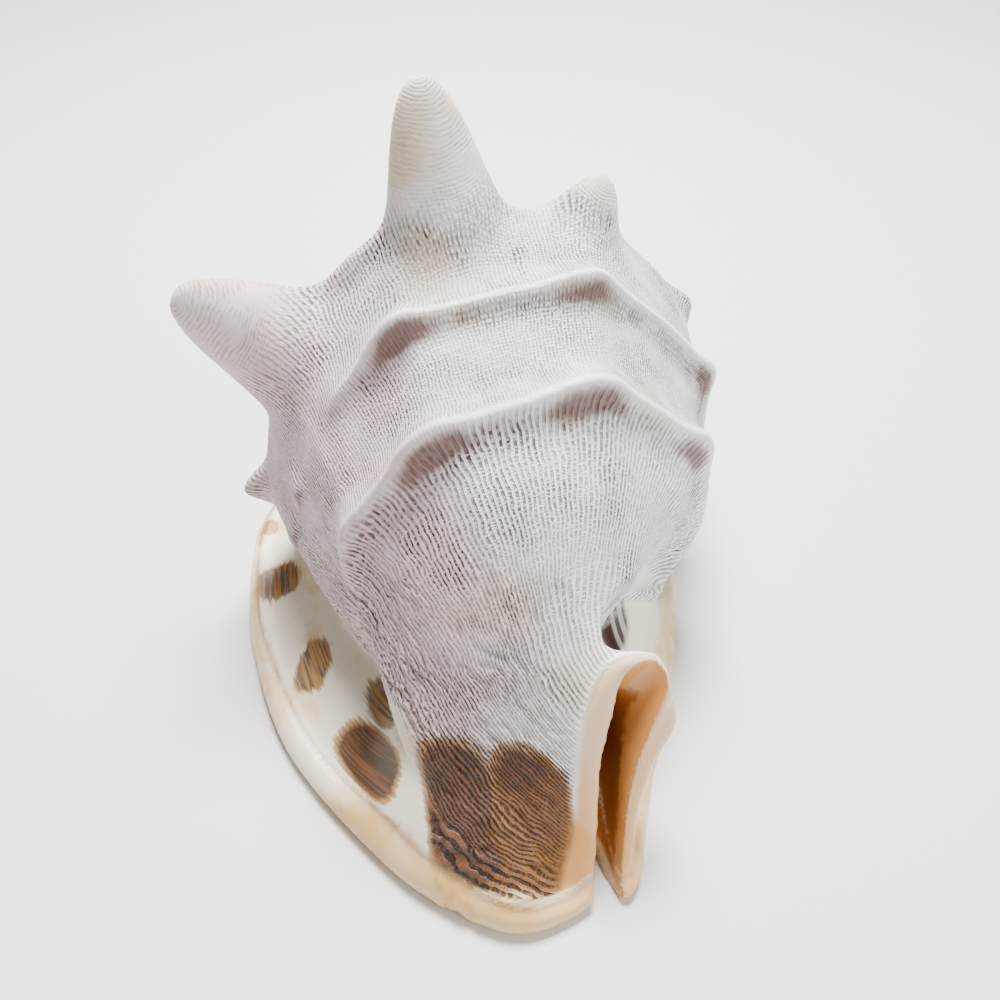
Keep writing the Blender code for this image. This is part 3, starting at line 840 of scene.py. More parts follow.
@dataclass
class Markings:
    """Where the skin is woven, wrinkled, glazed and stained, and where shade is painted on it."""

    growth_lines: float = 384.0
    thread_pitch: float = 1.15
    fine_spacing: float = 1.3
    wide_spacing: float = 1.7
    wrinkle_spacing: float = 4.2
    arc_spacing: float = 1.35
    wrinkle_depth: float = 0.45
    crest_height: float = 1.0
    crest_middle: float = 0.3
    crest_half: float = 1.6
    stain_and_shade_middle: float = -2.6
    stain_and_shade_half: float = 1.9
    stain_around: float = 1.3
    least_horn: float = 12.0
    least_girth: float = 20.0
    widest_level: float = 3.0
    body_edge: Points = (
        (6, -38), (41.5, -35), (58, -40), (81, -46), (106, -57), (134, -67.5), (155, -70),
        (178, -77),
    )
    roll_width: Points = ((0, 4.5), (20, 7), (45, 9), (75, 8.5), (103, 7), (146, 4.5), (190, 3.5))
    gold_blotches: tuple[Patch, ...] = (
        Patch((-75.5, 147, 9), (8.5, 8, 14), 1.0, 10),
        Patch((-65, 104, 10), (6.5, 10, 14), 0.9, -22),
        Patch((-79, 177, 8), (5, 4, 9), 0.8),
        Patch((-44, 78, 22), (6, 12, 12), 0.75, 20),
        Patch((-9, 42, 37), (9, 5, 7), 0.45),
        Patch((7, 40, 36), (7, 5, 7), 0.55),
    )
    gold_lobes: tuple[Patch, ...] = (
        Patch((-5, 30, 26), (12, 16, 16), 1.0),
        Patch((0, 18, 15), (13, 12, 12), 1.0),
        Patch((-13, 24, 17), (10, 14, 12), 1.0),
    )
    dark_lobes: tuple[Patch, ...] = (
        Patch((-27, 38, 26), (13, 17, 17), 1.0),
        Patch((-28, 24, 16), (12, 12, 12), 1.0),
        Patch((-6, 38, 32), (11, 8, 11), 0.75),
    )
    lip_dark: tuple[Patch, ...] = (
        Patch((-50, 61, 14), (7.5, 17, 14), 1.0, 27),
    )

    def measure(self, obj: bpy.types.Object, sculpt: Sculpt) -> None:
        """Find where each point of the skin belongs.

        Args:
            obj: the shell, in its own frame.
            sculpt: the forms that it grew from.
        """
        places = vertex_places(obj.data)
        self.places = places / MM
        forms = sculpt.forms
        self.turn, self.rise, hull_gap = forms[Region.HULL].nearest(places)
        self.lip_turn, self.lip_rise, lip_gap = forms[Region.FLANGE].nearest(places)
        outside = np.minimum(hull_gap, lip_gap)
        self.on_lip = smooth_step(-1.5, 1.5, hull_gap - lip_gap)
        self.inside: dict[Region, np.ndarray] = {}
        for region in (Region.LUMEN, Region.SLIT, Region.CANAL, Region.POCKET):
            form = forms[region]
            low, high = form.places.min(0) - 4 * MM, form.places.max(0) + 4 * MM
            here = ((places > low) & (places < high)).all(1)
            _, _, gap = form.nearest(places[here])
            mask = np.zeros(len(places))
            mask[here] = smooth_step(-0.8, 0.8, outside[here] - gap)
            self.inside[region] = mask
        _, self.inward = sculpt.flange.reach(self.lip_turn % 1, self.lip_rise)
        x, y, z = self.places.T
        body_side = x - smooth_curve(y, self.body_edge)
        band = smooth_step(7.5, 6.0, self.inward) * smooth_step(-28, -24, x)
        front = np.maximum(smooth_step(3.5, -3.5, body_side), band) * smooth_step(45, 40, z)
        near_front = smooth_step(70, 58, y) * smooth_step(24, 18, x)
        self.on_lip = self.on_lip + (front - self.on_lip) * near_front
        past_fold = x - smooth_curve(y, sculpt.hollows.fold)
        self.callus = smooth_step(0, 4, past_fold) * smooth_step(114, 106, y)
        self.callus = self.callus * smooth_step(44, 48, y) * smooth_step(62, 56, z)
        hollow = np.max(list(self.inside.values()), axis=0)
        self.on_lip = np.maximum(self.on_lip, self.callus)
        self.on_hull = (1 - self.on_lip) * (1 - hollow)
        self.on_lip = self.on_lip * (1 - hollow)
        self.length = sculpt.hull.length(self.rise)
        self.canal = self.inside[Region.CANAL]
        self.read_hull(sculpt)

    def read_hull(self, sculpt: Sculpt) -> None:
        """Read the lines of growth: how far apart they lie, the crests, and the painted shade and
        stains below them.

        Args:
            sculpt: the forms that the skin grew from.
        """
        hull, whorl = sculpt.hull, sculpt.hull.whorl
        step = 0.002
        ahead = hull.point((self.turn + step) % 1, self.rise)
        behind = hull.point((self.turn - step) % 1, self.rise)
        girth = np.linalg.norm(ahead - behind, axis=-1) / (2 * step)
        self.spacing = np.maximum(girth, self.least_girth) / self.growth_lines
        angle = self.turn % 1 * 360 - 90
        t = np.clip((self.rise - hull.neck_share) / (1 - hull.neck_share), 0, 1)
        along, radius = whorl.profile_at(t)
        self.crest, self.stain_and_shade = np.zeros(len(along)), np.zeros(len(along))
        for row in (MIDDLE_ROW, LOWER_ROW):
            off = along - row.along
            reach = smooth_step(-30, 0, angle) * smooth_step(row.fade + 12, row.fade - 10, angle)
            top = np.exp(-(((off - self.crest_middle) / self.crest_half) ** 2))
            self.crest = np.maximum(self.crest, reach * top)
            # Painted shade in a faint band under each ridge's crest; under the knobs it is stronger
            # and brown, painted shade with some real staining.
            below = np.exp(-(((off - self.stain_and_shade_middle) / self.stain_and_shade_half) ** 2))
            self.stain_and_shade = np.maximum(self.stain_and_shade, 0.3 * reach * below)
            for knob in row.knobs:
                around = np.radians(angle_gap(angle, knob.angle)) * radius / knob.half_width
                near = np.exp(-((around / self.stain_around) ** 2))
                here = below * near * min(knob.height / 5, 1)
                self.stain_and_shade = np.maximum(self.stain_and_shade, here)
        self.crest, self.stain_and_shade = self.crest * self.on_hull, self.stain_and_shade * self.on_hull
        upper = smooth_step(LOWER_ROW.along - 1, LOWER_ROW.along + 1, along)
        upper = np.maximum(upper, smooth_step(190, 230, angle))
        wanted = self.wide_spacing + (self.fine_spacing - self.wide_spacing) * upper
        level = np.log2(wanted / self.spacing)
        self.upper, self.level = upper, np.clip(level, 0, self.widest_level)
        self.even = smooth_step(3.9, 3.2, level)
        self.find_horns(angle, along, radius)

    def find_horns(self, angle: np.ndarray, along: np.ndarray, radius: np.ndarray) -> None:
        """Find how near each point is to a horn's tip.

        Args:
            angle: degrees around the axis.
            along: distance along the shell.
            radius: the plain whorl's radius there.
        """
        far, off_hull = 400.0, 1000 * (1 - self.on_hull)
        self.horn, self.tip_gap = np.zeros(len(along)), np.full(len(along), far)
        for knob in SHOULDER_ROW.knobs:
            if knob.height < self.least_horn:
                continue
            around = np.radians(angle_gap(angle, knob.angle)) * radius
            gap = np.hypot(around, along - SHOULDER_ROW.along)
            tip = self.places[np.argmin(gap + off_hull)]
            apart = np.linalg.norm(self.places - tip, axis=-1)
            share = smooth_step(knob.height * 1.05, knob.height * 0.6, apart)
            self.horn = np.maximum(self.horn, share)
            self.tip_gap = np.minimum(self.tip_gap, apart)

    def soft_share(self, mesh: bpy.types.Mesh) -> np.ndarray:
        """Give where the skin is rounded and glazed: the rims of the canal, lip and pit.

        Args:
            mesh: the shell's mesh.

        Returns:
            From 0 to 1 for each point.
        """
        cut = spread(mesh, self.canal, 0.9, 4)[:, 0]
        edge = smooth_step(0.02, 0.15, cut * (1 - cut))
        canal_rim = np.maximum(smooth_step(9, 5, self.length), edge)
        lip_rim = smooth_step(7, 4, self.inward) * smooth_step(30, 20, self.places[:, 2])
        return np.maximum(canal_rim, np.maximum(lip_rim, 0.6 * self.callus))

    def wrinkle_share(self) -> np.ndarray:
        """Give how strongly the growth lines stand up as wrinkles, most at the lower left."""
        x, y, z = self.places.T
        low = smooth_step(115, 50, z) * smooth_step(150, 85, y)
        left = smooth_step(35, -45, x)
        front = smooth_step(90, 50, y) * smooth_step(16, -6, x)
        callus = smooth_step(20, 8, self.length)
        share = np.clip(np.maximum(low * left, front), 0, 1)
        return share * (1 - callus) * self.on_hull * self.even

    def wrinkle(self) -> np.ndarray:
        """Make the wrinkles: uneven growth lines that wander, merge and break."""
        wander = 0.6 * ripple(self.places, 26, 3) + 0.3 * ripple(self.places, 9, 5)
        level = np.clip(np.log2(self.wrinkle_spacing / self.spacing), 0, 6)
        whole = np.floor(level)
        share = smooth_step(0.3, 0.7, level - whole)
        count = self.turn * self.growth_lines / 2**whole
        finer = np.sin(2 * math.pi * (count + wander))
        wider = np.sin(2 * math.pi * (count / 2 + wander))
        wave = finer + (wider - finer) * share
        return wave * (0.8 + 0.4 * ripple(self.places, 12, 8)) + 0.3 * ripple(self.places, 7, 11)

    def raise_relief(self, obj: bpy.types.Object) -> None:
        """Push the skin in and out along its normals."""
        normals = np.empty(len(obj.data.vertices) * 3, np.float32)
        obj.data.vertices.foreach_get("normal", normals)
        normals = normals.reshape(-1, 3).astype(float)
        share, wave = self.wrinkle_share(), self.wrinkle()
        lift = self.wrinkle_depth * share * wave + self.crest_height * self.crest
        set_vertex_places(obj.data, vertex_places(obj.data) + normals * lift[:, None] * MM)
        self.relief = share * wave

    def store(self, obj: bpy.types.Object) -> None:
        """Keep what the finish reads as attributes of the mesh."""
        x, y, z = self.places.T
        width = smooth_curve(y, self.roll_width)
        outer = smooth_step(width + 1.5, width - 1.5, self.inward)
        low = smooth_step(34, 24, z)
        roll = outer * low * np.maximum(self.on_lip, smooth_step(40, 20, y))
        groove = np.exp(-(((self.inward - width) / 0.8) ** 2)) * smooth_step(25, -10, x)
        canal_rim = smooth_step(8, 4, self.length) * (1 - self.on_lip)
        # Painted shade: the lower left of the whorl turns darker and mauve, where less light falls.
        mauve_shade = smooth_step(170, 85, z) * smooth_step(30, -40, x)
        body = np.maximum(self.on_hull, self.on_lip)
        values = {
            "growth": self.turn * self.growth_lines,
            "threads": self.length / self.thread_pitch,
            "arcs": self.tip_gap / self.arc_spacing,
            "horn": self.horn * self.on_hull,
            "level": self.level,
            "upper": self.upper * smooth_step(-60, 10, x),
            "woven": self.on_hull * smooth_step(6, 13, self.length) * self.even,
            "relief": self.relief,
            "wrinkled": self.wrinkle_share(),
            "mauve_shade": mauve_shade * self.on_hull,
            "crest": self.crest,
            "stain_and_shade": self.stain_and_shade,
            "lip": self.on_lip,
            "inward": self.inward,
            "around": self.lip_turn % 1,
            "blotch": strongest(self.gold_blotches, self.places) * body,
            "gold": strongest(self.gold_lobes, self.places) * self.on_hull,
            "dark": np.maximum(
                strongest(self.dark_lobes, self.places) * self.on_hull,
                strongest(self.lip_dark, self.places) * self.on_lip,
            ),
            "roll": roll * (1 - self.canal),
            "groove": groove * self.on_lip * low,
            "rim": canal_rim * (1 - self.canal * 0.5),
            "canal": self.canal,
            "hollow": np.maximum(self.inside[Region.LUMEN], self.inside[Region.SLIT]),
            "pocket": self.inside[Region.POCKET],
            "shell_x": x,
            "shell_y": y,
            "shell_z": z,
        }
        for name, value in values.items():
            attribute = obj.data.attributes.new(name, "FLOAT", "POINT")
            attribute.data.foreach_set("value", value.astype(np.float32))


Socket = bpy.types.NodeSocket
Colour = tuple[float, float, float]


class NodeSheet:
    """Adds nodes to a material, one short call each."""

    def __init__(self, material: bpy.types.Material) -> None:
        """Open the material's node tree."""
        material.use_nodes = True
        self.tree = material.node_tree
        self.shader = self.tree.nodes["Principled BSDF"]

    def feed(self, socket: Socket, value: "Socket | float | Colour") -> None:
        """Link a socket, or set its value."""
        if isinstance(value, bpy.types.NodeSocket):
            self.tree.links.new(value, socket)
        elif isinstance(value, tuple):
            socket.default_value = (*value, 1.0)
        else:
            socket.default_value = value

    def attribute(self, name: str) -> Socket:
        """Read a float attribute of the mesh."""
        node = self.tree.nodes.new("ShaderNodeAttribute")
        node.attribute_name = name
        return node.outputs["Fac"]

    def math(self, operation: str, *values: "Socket | float", clamp: bool = False) -> Socket:
        """Add a Math node."""
        node = self.tree.nodes.new("ShaderNodeMath")
        node.operation = operation
        node.use_clamp = clamp
        for socket, value in zip(node.inputs, values):
            self.feed(socket, value)
        return node.outputs[0]

    def times(self, *values: "Socket | float") -> Socket:
        """Multiply several values."""
        total = values[0]
        for value in values[1:]:
            total = self.math("MULTIPLY", total, value)
        return total

    def step(self, value: Socket, low: float, high: float, first: float = 0.0,
             last: float = 1.0) -> Socket:
        """Map low..high smoothly to first..last."""
        node = self.tree.nodes.new("ShaderNodeMapRange")
        node.interpolation_type = "SMOOTHSTEP"
        for index, number in enumerate((value, low, high, first, last)):
            self.feed(node.inputs[index], number)
        return node.outputs[0]

    def mix(self, share: "Socket | float", first: "Socket | Colour",
            second: "Socket | Colour") -> Socket:
        """Mix two colours."""
        node = self.tree.nodes.new("ShaderNodeMix")
        node.data_type = "RGBA"
        self.feed(node.inputs["Factor"], share)
        self.feed(node.inputs[6], first)
        self.feed(node.inputs[7], second)
        return node.outputs[2]

    def mix_values(self, share: Socket, first: Socket, second: Socket) -> Socket:
        """Mix two values: the first where the share is 0, the second where it is 1."""
        return self.math("MULTIPLY_ADD", share, self.math("SUBTRACT", second, first), first)

    def combine(self, x: "Socket | float", y: "Socket | float", z: "Socket | float") -> Socket:
        """Join three values into a vector."""
        node = self.tree.nodes.new("ShaderNodeCombineXYZ")
        for socket, value in zip(node.inputs, (x, y, z)):
            self.feed(socket, value)
        return node.outputs[0]

    def place(self) -> Socket:
        """Give the object coordinates."""
        return self.tree.nodes.new("ShaderNodeTexCoord").outputs["Object"]

    def noise(self, where: Socket, scale: float, detail: float = 3.0,
              rough: float = 0.55) -> Socket:
        """Add a Noise texture and give its value."""
        node = self.tree.nodes.new("ShaderNodeTexNoise")
        self.feed(node.inputs["Vector"], where)
        node.inputs["Scale"].default_value = scale
        node.inputs["Detail"].default_value = detail
        node.inputs["Roughness"].default_value = rough
        return node.outputs["Fac"]

    def wave(self, phase: Socket) -> Socket:
        """Turn a phase, counted in cycles, into a wave from 0 to 1."""
        turned = self.math("MULTIPLY", phase, 2 * math.pi)
        return self.math("MULTIPLY_ADD", self.math("SINE", turned), 0.5, 0.5)

    def bump(self, height: Socket, distance: float) -> Socket:
        """Add a Bump node: the height's share of a distance in metres."""
        node = self.tree.nodes.new("ShaderNodeBump")
        node.inputs["Distance"].default_value = distance
        self.feed(node.inputs["Height"], height)
        return node.outputs[0]


@dataclass(frozen=True)
class ShellFinish:
    """The shell's colours and its surface, from chalky weave to glossy lips."""

    white: Colour = (0.93, 0.93, 0.93)
    # Painted shade: the mauve that the white turns on the shaded lower left.
    cream_white: Colour = (0.88, 0.77, 0.56)
    shaded_mauve_white: Colour = (0.66, 0.47, 0.47)
    tan: Colour = (0.56, 0.40, 0.24)
    # Painted shade: the grey that the gaps between the ribs are darkened towards.
    gap: Colour = (0.22, 0.185, 0.175)
    # Painted shade: the darker mauve of the gaps on the shaded lower left.
    mauve_shade: Colour = (0.15, 0.05, 0.05)
    # Brown for under the ridges and knobs: painted shade, with some real staining at the knobs.
    stain_and_shade: Colour = (0.12, 0.032, 0.022)
    cream: Colour = (0.76, 0.47, 0.15)
    lip_white: Colour = (0.87, 0.80, 0.64)
    dark: Colour = (0.012, 0.004, 0.002)
    dark_crest: Colour = (0.13, 0.045, 0.018)
    brown: Colour = (0.04, 0.010, 0.0015)
    tawny: Colour = (0.20, 0.070, 0.006)
    gold: Colour = (0.36, 0.16, 0.018)
    yellow: Colour = (0.66, 0.36, 0.06)
    peach: Colour = (0.80, 0.38, 0.11)
    pink_white: Colour = (0.85, 0.54, 0.31)
    orange: Colour = (0.60, 0.20, 0.015)
    umber: Colour = (0.26, 0.07, 0.008)
    low_brown: Colour = (0.34, 0.115, 0.012)
    inside: Colour = (0.62, 0.40, 0.22)
    pit_dark: Colour = (0.12, 0.10, 0.09)
    pit_light: Colour = (0.70, 0.66, 0.62)
    chalky: float = 0.62
    glazed: float = 0.30
    weave_height: float = 0.0007

    def ribs(self, sheet: NodeSheet, across: Socket, along: Socket) -> Socket:
        """Make one size of ribs and give the gaps between them, from 0 to 1.

        Args:
            sheet: the material's nodes.
            across: the count of ribs.
            along: the way along the ribs, about one unit for each bead.

        Returns:
            The gaps.
        """
        gaps = sheet.step(sheet.wave(across), 0.72, 0.18)
        beads = sheet.noise(sheet.combine(across, along, 0.0), 1.0, 1.0)
        return sheet.times(gaps, sheet.step(beads, 0.34, 0.6, 0.42, 1.0))

    def weave(self, sheet: NodeSheet, place: Socket) -> tuple[Socket, Socket]:
        """Make the woven skin: fine lines of growth crossed by threads, with gaps between.

        Args:
            sheet: the material's nodes.
            place: the object coordinates.

        Returns:
            The gaps from 0 to 1, and the height.
        """
        wander = sheet.noise(place, 130, 2)
        drift = sheet.noise(place, 38, 2)
        wrinkled = sheet.attribute("wrinkled")
        shift = sheet.math("MULTIPLY_ADD", drift, 3.2, sheet.times(wander, 1.5))
        shift = sheet.times(shift, sheet.math("MULTIPLY_ADD", wrinkled, 0.8, 1.0))
        growth, level = sheet.attribute("growth"), sheet.attribute("level")
        along = sheet.math("MULTIPLY_ADD", wander, 1.5, sheet.attribute("threads"))
        gaps = self.ribs(sheet, sheet.math("ADD", growth, shift), along)
        for number in (1, 2, 3):
            calmer = sheet.times(shift, 1 - number * 0.19)
            across = sheet.math("MULTIPLY_ADD", growth, 0.5**number, calmer)
            wider = self.ribs(sheet, across, along)
            share = sheet.step(level, number - 0.62, number - 0.38)
            gaps = sheet.mix_values(share, gaps, wider)
        threads = sheet.step(sheet.wave(along), 0.7, 0.2)
        upper = sheet.attribute("upper")
        threads = sheet.times(threads, sheet.math("MULTIPLY_ADD", upper, 0.5, 0.12))
        gaps = sheet.math("MAXIMUM", gaps, threads)
        bent = sheet.math("MULTIPLY_ADD", drift, 7.0, sheet.times(wander, 2.0))
        arcs = sheet.math("ADD", sheet.attribute("arcs"), bent)
        arcs = self.ribs(sheet, arcs, sheet.times(growth, 0.8))
        arcs = sheet.times(arcs, sheet.step(wander, 0.35, 0.65, 0.05, 0.4))
        gaps = sheet.mix_values(sheet.attribute("horn"), gaps, arcs)
        patchy = sheet.noise(place, 60, 3)
        gaps = sheet.times(gaps, sheet.step(patchy, 0.3, 0.65, 0.6, 1.1), sheet.attribute("woven"))
        smooth = sheet.math("MULTIPLY_ADD", sheet.attribute("crest"), -1.0, 1.0, clamp=True)
        gaps = sheet.times(gaps, smooth)
        return gaps, sheet.math("SUBTRACT", 1.0, gaps)

    def body(self, sheet: NodeSheet, place: Socket, gaps: Socket) -> Socket:
        """Colour the whorl: white ribs, painted grey to mauve shade in the gaps and wrinkle troughs,
        a painted mauve shade on the lower left, painted shade and stains under the ridges, and brown
        lobes at the front.
        """
        patchy = sheet.noise(place, 26, 4)
        white = sheet.mix(sheet.step(patchy, 0.48, 0.75), self.white, self.cream_white)
        tip = sheet.times(sheet.attribute("horn"), sheet.step(patchy, 0.35, 0.65))
        white = sheet.mix(sheet.times(tip, 0.6), white, self.tan)
        # Painted shade: the lower left turns mauve and its gaps darker.
        mauve_shade = sheet.attribute("mauve_shade")
        gap_shade = sheet.mix(mauve_shade, self.gap, self.mauve_shade)
        colour = sheet.mix(sheet.times(mauve_shade, 0.75), white, self.shaded_mauve_white)
        # Painted shade in the gaps between the ribs.
        colour = sheet.mix(sheet.math("MULTIPLY", gaps, 0.92, clamp=True), colour, gap_shade)
        # Painted shade in the troughs of the wrinkles.
        valley = sheet.step(sheet.attribute("relief"), 0.1, -0.8)
        colour = sheet.mix(sheet.times(valley, 0.35), colour, gap_shade)
        # Under the ridges and knobs: painted shade beneath the overhang, with some real brown
        # staining at the knobs.
        rough = sheet.noise(place, 90, 3)
        stain_and_shade = sheet.math("MULTIPLY_ADD", rough, 0.8, sheet.attribute("stain_and_shade"))
        stain_and_shade = sheet.step(stain_and_shade, 0.55, 1.15)
        colour = sheet.mix(sheet.times(stain_and_shade, 0.85), colour, self.stain_and_shade)
        front = sheet.step(sheet.attribute("shell_y"), 36, 16)
        foot = sheet.times(front, sheet.step(sheet.attribute("shell_z"), 26, 14))
        foot = sheet.times(foot, sheet.step(patchy, 0.35, 0.6, 0.4, 0.9))
        return self.lobes(sheet, sheet.mix(foot, colour, self.cream), rough, gaps)

    def lobes(self, sheet: NodeSheet, colour: Socket, rough: Socket, gaps: Socket) -> Socket:
        """Lay the brown and golden lobes over the whorl's colour.

        Args:
            sheet: the material's nodes.
            colour: the colour below.
            rough: the noise that makes the edges ragged.
            gaps: the gaps between the ribs.

        Returns:
            The colour.
        """
        ragged = sheet.math("MULTIPLY_ADD", rough, 0.8, -0.46)
        ragged = sheet.math("MULTIPLY_ADD", gaps, 0.26, ragged)
        # The gaps between the ribs take the darker browns: real brown colour, with painted shade in
        # the gaps.
        deep = sheet.math("MULTIPLY", gaps, 1.7, clamp=True)
        golden = sheet.mix(deep, self.gold, self.brown)
        blotch = sheet.step(sheet.math("ADD", sheet.attribute("blotch"), ragged), 0.3, 0.7)
        colour = sheet.mix(sheet.times(blotch, 0.85), colour, golden)
        edge = sheet.math("ADD", sheet.attribute("dark"), ragged)
        colour = sheet.mix(sheet.times(sheet.step(edge, 0.12, 0.4), 0.85), colour, golden)
        gold = sheet.math("ADD", sheet.attribute("gold"), ragged)
        colour = sheet.mix(sheet.times(sheet.step(gold, 0.2, 0.45), 0.8), colour, golden)
        tawny = sheet.mix(deep, self.tawny, self.brown)
        colour = sheet.mix(sheet.times(sheet.step(gold, 0.4, 0.75), 0.9), colour, tawny)
        dark = sheet.mix(deep, self.dark_crest, self.dark)
        return sheet.mix(sheet.times(sheet.step(edge, 0.4, 0.75), 0.95), colour, dark)

    def lip(self, sheet: NodeSheet, place: Socket, colour: Socket) -> Socket:
        """Colour the lip: white with streaks and blotches, and a yellow rolled rim."""
        around, inward = sheet.attribute("around"), sheet.attribute("inward")
        along = sheet.combine(sheet.times(around, 24.0), sheet.times(inward, 0.8), 0.0)
        streaks = sheet.noise(along, 1.0, 4, 0.6)
        soft = sheet.noise(place, 55, 3)
        base = sheet.mix(sheet.step(streaks, 0.42, 0.7), self.lip_white, self.cream_white)
        base = sheet.mix(sheet.step(soft, 0.5, 0.75, 0, 0.7), base, self.cream)
        lines = sheet.step(streaks, 0.56, 0.42)
        edge = sheet.math("MULTIPLY_ADD", streaks, 1.1, -0.55)
        edge = sheet.math("MULTIPLY_ADD", soft, 0.5, sheet.math("SUBTRACT", edge, 0.25))
        gold = sheet.step(sheet.math("ADD", sheet.attribute("blotch"), edge), 0.25, 0.65)
        base = sheet.mix(sheet.times(gold, 0.9), base, sheet.mix(lines, self.gold, self.brown))
        dark = sheet.math("ADD", sheet.attribute("dark"), sheet.times(edge, 0.8))
        base = sheet.mix(sheet.times(sheet.step(dark, 0.2, 0.4), 0.85), base, self.gold)
        shade = sheet.mix(lines, self.dark_crest, self.dark)
        base = sheet.mix(sheet.times(sheet.step(dark, 0.4, 0.7), 0.9), base, shade)
        return sheet.mix(sheet.attribute("lip"), colour, base)

    def canal(self, sheet: NodeSheet, colour: Socket) -> Socket:
        """Colour the canal's inside: orange at the top, dark in the middle, brown at the foot."""
        z = sheet.attribute("shell_z")
        low = sheet.mix(sheet.step(z, 20, 38), self.low_brown, self.umber)
        inside = sheet.mix(sheet.step(z, 44, 62), low, self.orange)
        inside = sheet.mix(sheet.attribute("rim"), inside, self.peach)
        return sheet.mix(sheet.attribute("canal"), colour, inside)

    def rims(self, sheet: NodeSheet, place: Socket, colour: Socket) -> Socket:
        """Colour the rolled rims: cream and yellow at the lip, peach around the canal."""
        cloudy = sheet.noise(place, 40, 3)
        side = sheet.mix(sheet.step(cloudy, 0.4, 0.65), self.cream_white, self.yellow)
        front = sheet.mix(sheet.step(cloudy, 0.42, 0.6), self.cream, self.peach)
        roll = sheet.mix(sheet.step(sheet.attribute("shell_y"), 45, 20), side, front)
        colour = sheet.mix(sheet.times(sheet.attribute("roll"), 0.85), colour, roll)
        groove = sheet.times(sheet.attribute("groove"), sheet.step(cloudy, 0.35, 0.6, 0.4, 1.0))
        colour = sheet.mix(groove, colour, self.gold)
        high = sheet.step(sheet.attribute("shell_z"), 20, 60)
        glow = sheet.mix(high, self.peach, self.pink_white)
        return sheet.mix(sheet.times(sheet.attribute("rim"), 0.85), colour, glow)

    def pit(self, sheet: NodeSheet, colour: Socket) -> Socket:
        """Colour the pocket by the shield: banded white and dark, brown on its left."""
        x = sheet.attribute("shell_x")
        bands = sheet.wave(sheet.math("MULTIPLY", x, 0.32))
        banded = sheet.mix(sheet.step(bands, 0.3, 0.7), self.pit_dark, self.pit_light)
        banded = sheet.mix(sheet.step(x, 36, 33), banded, self.brown)
        return sheet.mix(sheet.attribute("pocket"), colour, banded)

    def build(self) -> bpy.types.Material:
        """Make the material."""
        material = bpy.data.materials.new("Ribbed and glazed skin")
        sheet = NodeSheet(material)
        place = sheet.place()
        gaps, height = self.weave(sheet, place)
        colour = self.lip(sheet, place, self.body(sheet, place, gaps))
        colour = self.canal(sheet, self.rims(sheet, place, colour))
        colour = sheet.mix(sheet.attribute("hollow"), colour, self.inside)
        colour = self.pit(sheet, colour)
        sheet.feed(sheet.shader.inputs["Base Color"], colour)

        gloss = sheet.math("MAXIMUM", sheet.attribute("roll"), sheet.attribute("rim"))
        gloss = sheet.math("MAXIMUM", gloss, sheet.attribute("canal"))
        gloss = sheet.math("MAXIMUM", gloss, sheet.times(sheet.attribute("lip"), 0.6))
        rough = sheet.math("MULTIPLY_ADD", gloss, self.glazed - self.chalky, self.chalky)
        sheet.feed(sheet.shader.inputs["Roughness"], rough)
        matt = sheet.math("SUBTRACT", 1.0, gloss)
        raised = sheet.bump(sheet.times(height, matt), self.weave_height)
        sheet.feed(sheet.shader.inputs["Normal"], raised)
        return material


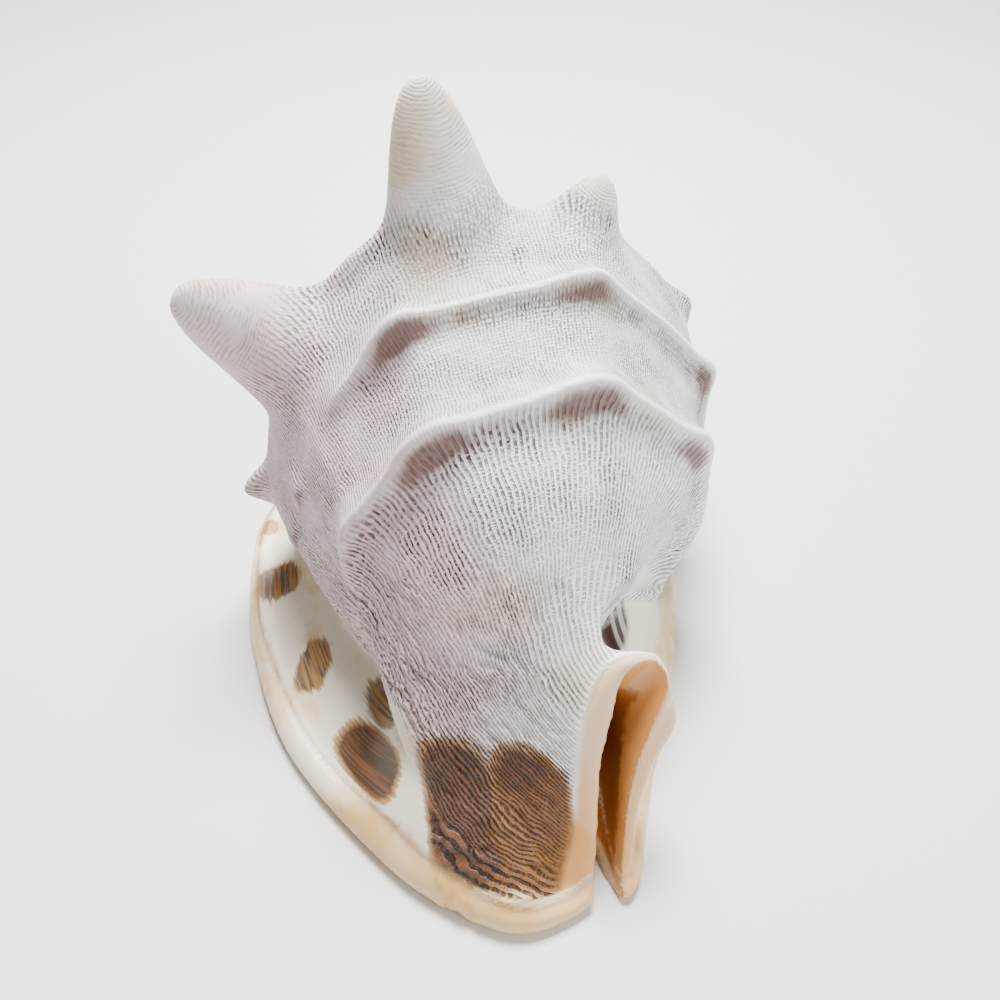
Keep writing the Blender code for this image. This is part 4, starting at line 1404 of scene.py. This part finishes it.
@dataclass
class Studio:
    """The floor, the soft light and the camera."""

    floor_colour: Colour = (0.80, 0.79, 0.77)
    eye: tuple[float, float, float] = (-0.04781, -0.22434, 0.300)
    tilt: float = 45.0
    heading: float = -12.0
    sky_colour: Colour = (0.95, 0.97, 1.0)
    sky_strength: float = 0.22

    def floor(self) -> bpy.types.Object:
        """Lay the floor."""
        mesh = bpy.data.meshes.new("Floor")
        bm = bmesh.new()
        bmesh.ops.create_grid(bm, x_segments=1, y_segments=1, size=4.0)
        bm.to_mesh(mesh)
        bm.free()
        floor = bpy.data.objects.new("Floor", mesh)
        bpy.context.collection.objects.link(floor)
        material = bpy.data.materials.new("Floor")
        sheet = NodeSheet(material)
        sheet.feed(sheet.shader.inputs["Base Color"], self.floor_colour)
        sheet.feed(sheet.shader.inputs["Roughness"], 0.7)
        mesh.materials.append(material)
        return floor

    def light(self, name: str, place: tuple[float, float, float],
              turned: tuple[float, float, float], size: float, power: float) -> None:
        """Hang a soft square light.

        Args:
            name: its name.
            place: where it hangs, in metres.
            turned: its turn in degrees, where 0 points down.
            size: its side in metres.
            power: its power in watts.
        """
        lamp = bpy.data.lights.new(name, "AREA")
        lamp.size = size
        lamp.energy = power
        obj = bpy.data.objects.new(name, lamp)
        obj.location = place
        obj.rotation_euler = [math.radians(angle) for angle in turned]
        bpy.context.collection.objects.link(obj)

    def sky(self) -> None:
        """Fill the room with even light."""
        world = bpy.data.worlds.new("Room")
        world.use_nodes = True
        background = world.node_tree.nodes["Background"]
        background.inputs["Color"].default_value = (*self.sky_colour, 1)
        background.inputs["Strength"].default_value = self.sky_strength
        bpy.context.scene.world = world

    def camera(self) -> None:
        """Stand the camera where the photograph was taken from."""
        data = bpy.data.cameras.new("Camera")
        data.lens = 36.0
        data.sensor_width = 36.0
        data.clip_start = 0.01
        camera = bpy.data.objects.new("Camera", data)
        camera.location = self.eye
        camera.rotation_euler = (math.radians(self.tilt), 0, math.radians(self.heading))
        bpy.context.collection.objects.link(camera)
        bpy.context.scene.camera = camera

    def build(self) -> None:
        """Set up everything around the shell."""
        self.floor()
        self.light("Key", (0.08, 0.42, 0.92), (-24, 5, 0), 0.4, 46.0)
        self.light("Fill", (0.5, -0.7, 0.7), (50, 0, 35), 0.9, 9.0)
        self.sky()
        self.camera()


def main() -> None:
    """Build the shell and its setting."""
    logging.basicConfig(level=logging.INFO, format="%(message)s")
    for obj in list(bpy.data.objects):
        if obj.name in ("Cube", "Light", "Camera"):
            bpy.data.objects.remove(obj, do_unlink=True)
    Studio().build()
    sculpt = Sculpt(Hull(), Flange(), Hollows())
    shell = sculpt.build("Helmet_shell")
    log.info("shell: %d faces in its even skin", len(shell.data.polygons))
    markings = Markings()
    markings.measure(shell, sculpt)
    sculpt.soften(shell, markings.soft_share(shell.data))
    markings.raise_relief(shell)
    markings.store(shell)
    sculpt.thin_out(shell)
    sculpt.stand(shell)
    log.info("shell: %d faces", len(shell.data.polygons))
    shell.data.materials.clear()
    shell.data.materials.append(ShellFinish().build())
    shell.data.shade_smooth()
    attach(shell, "root")
    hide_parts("shell")


if __name__ == "__main__":
    main()
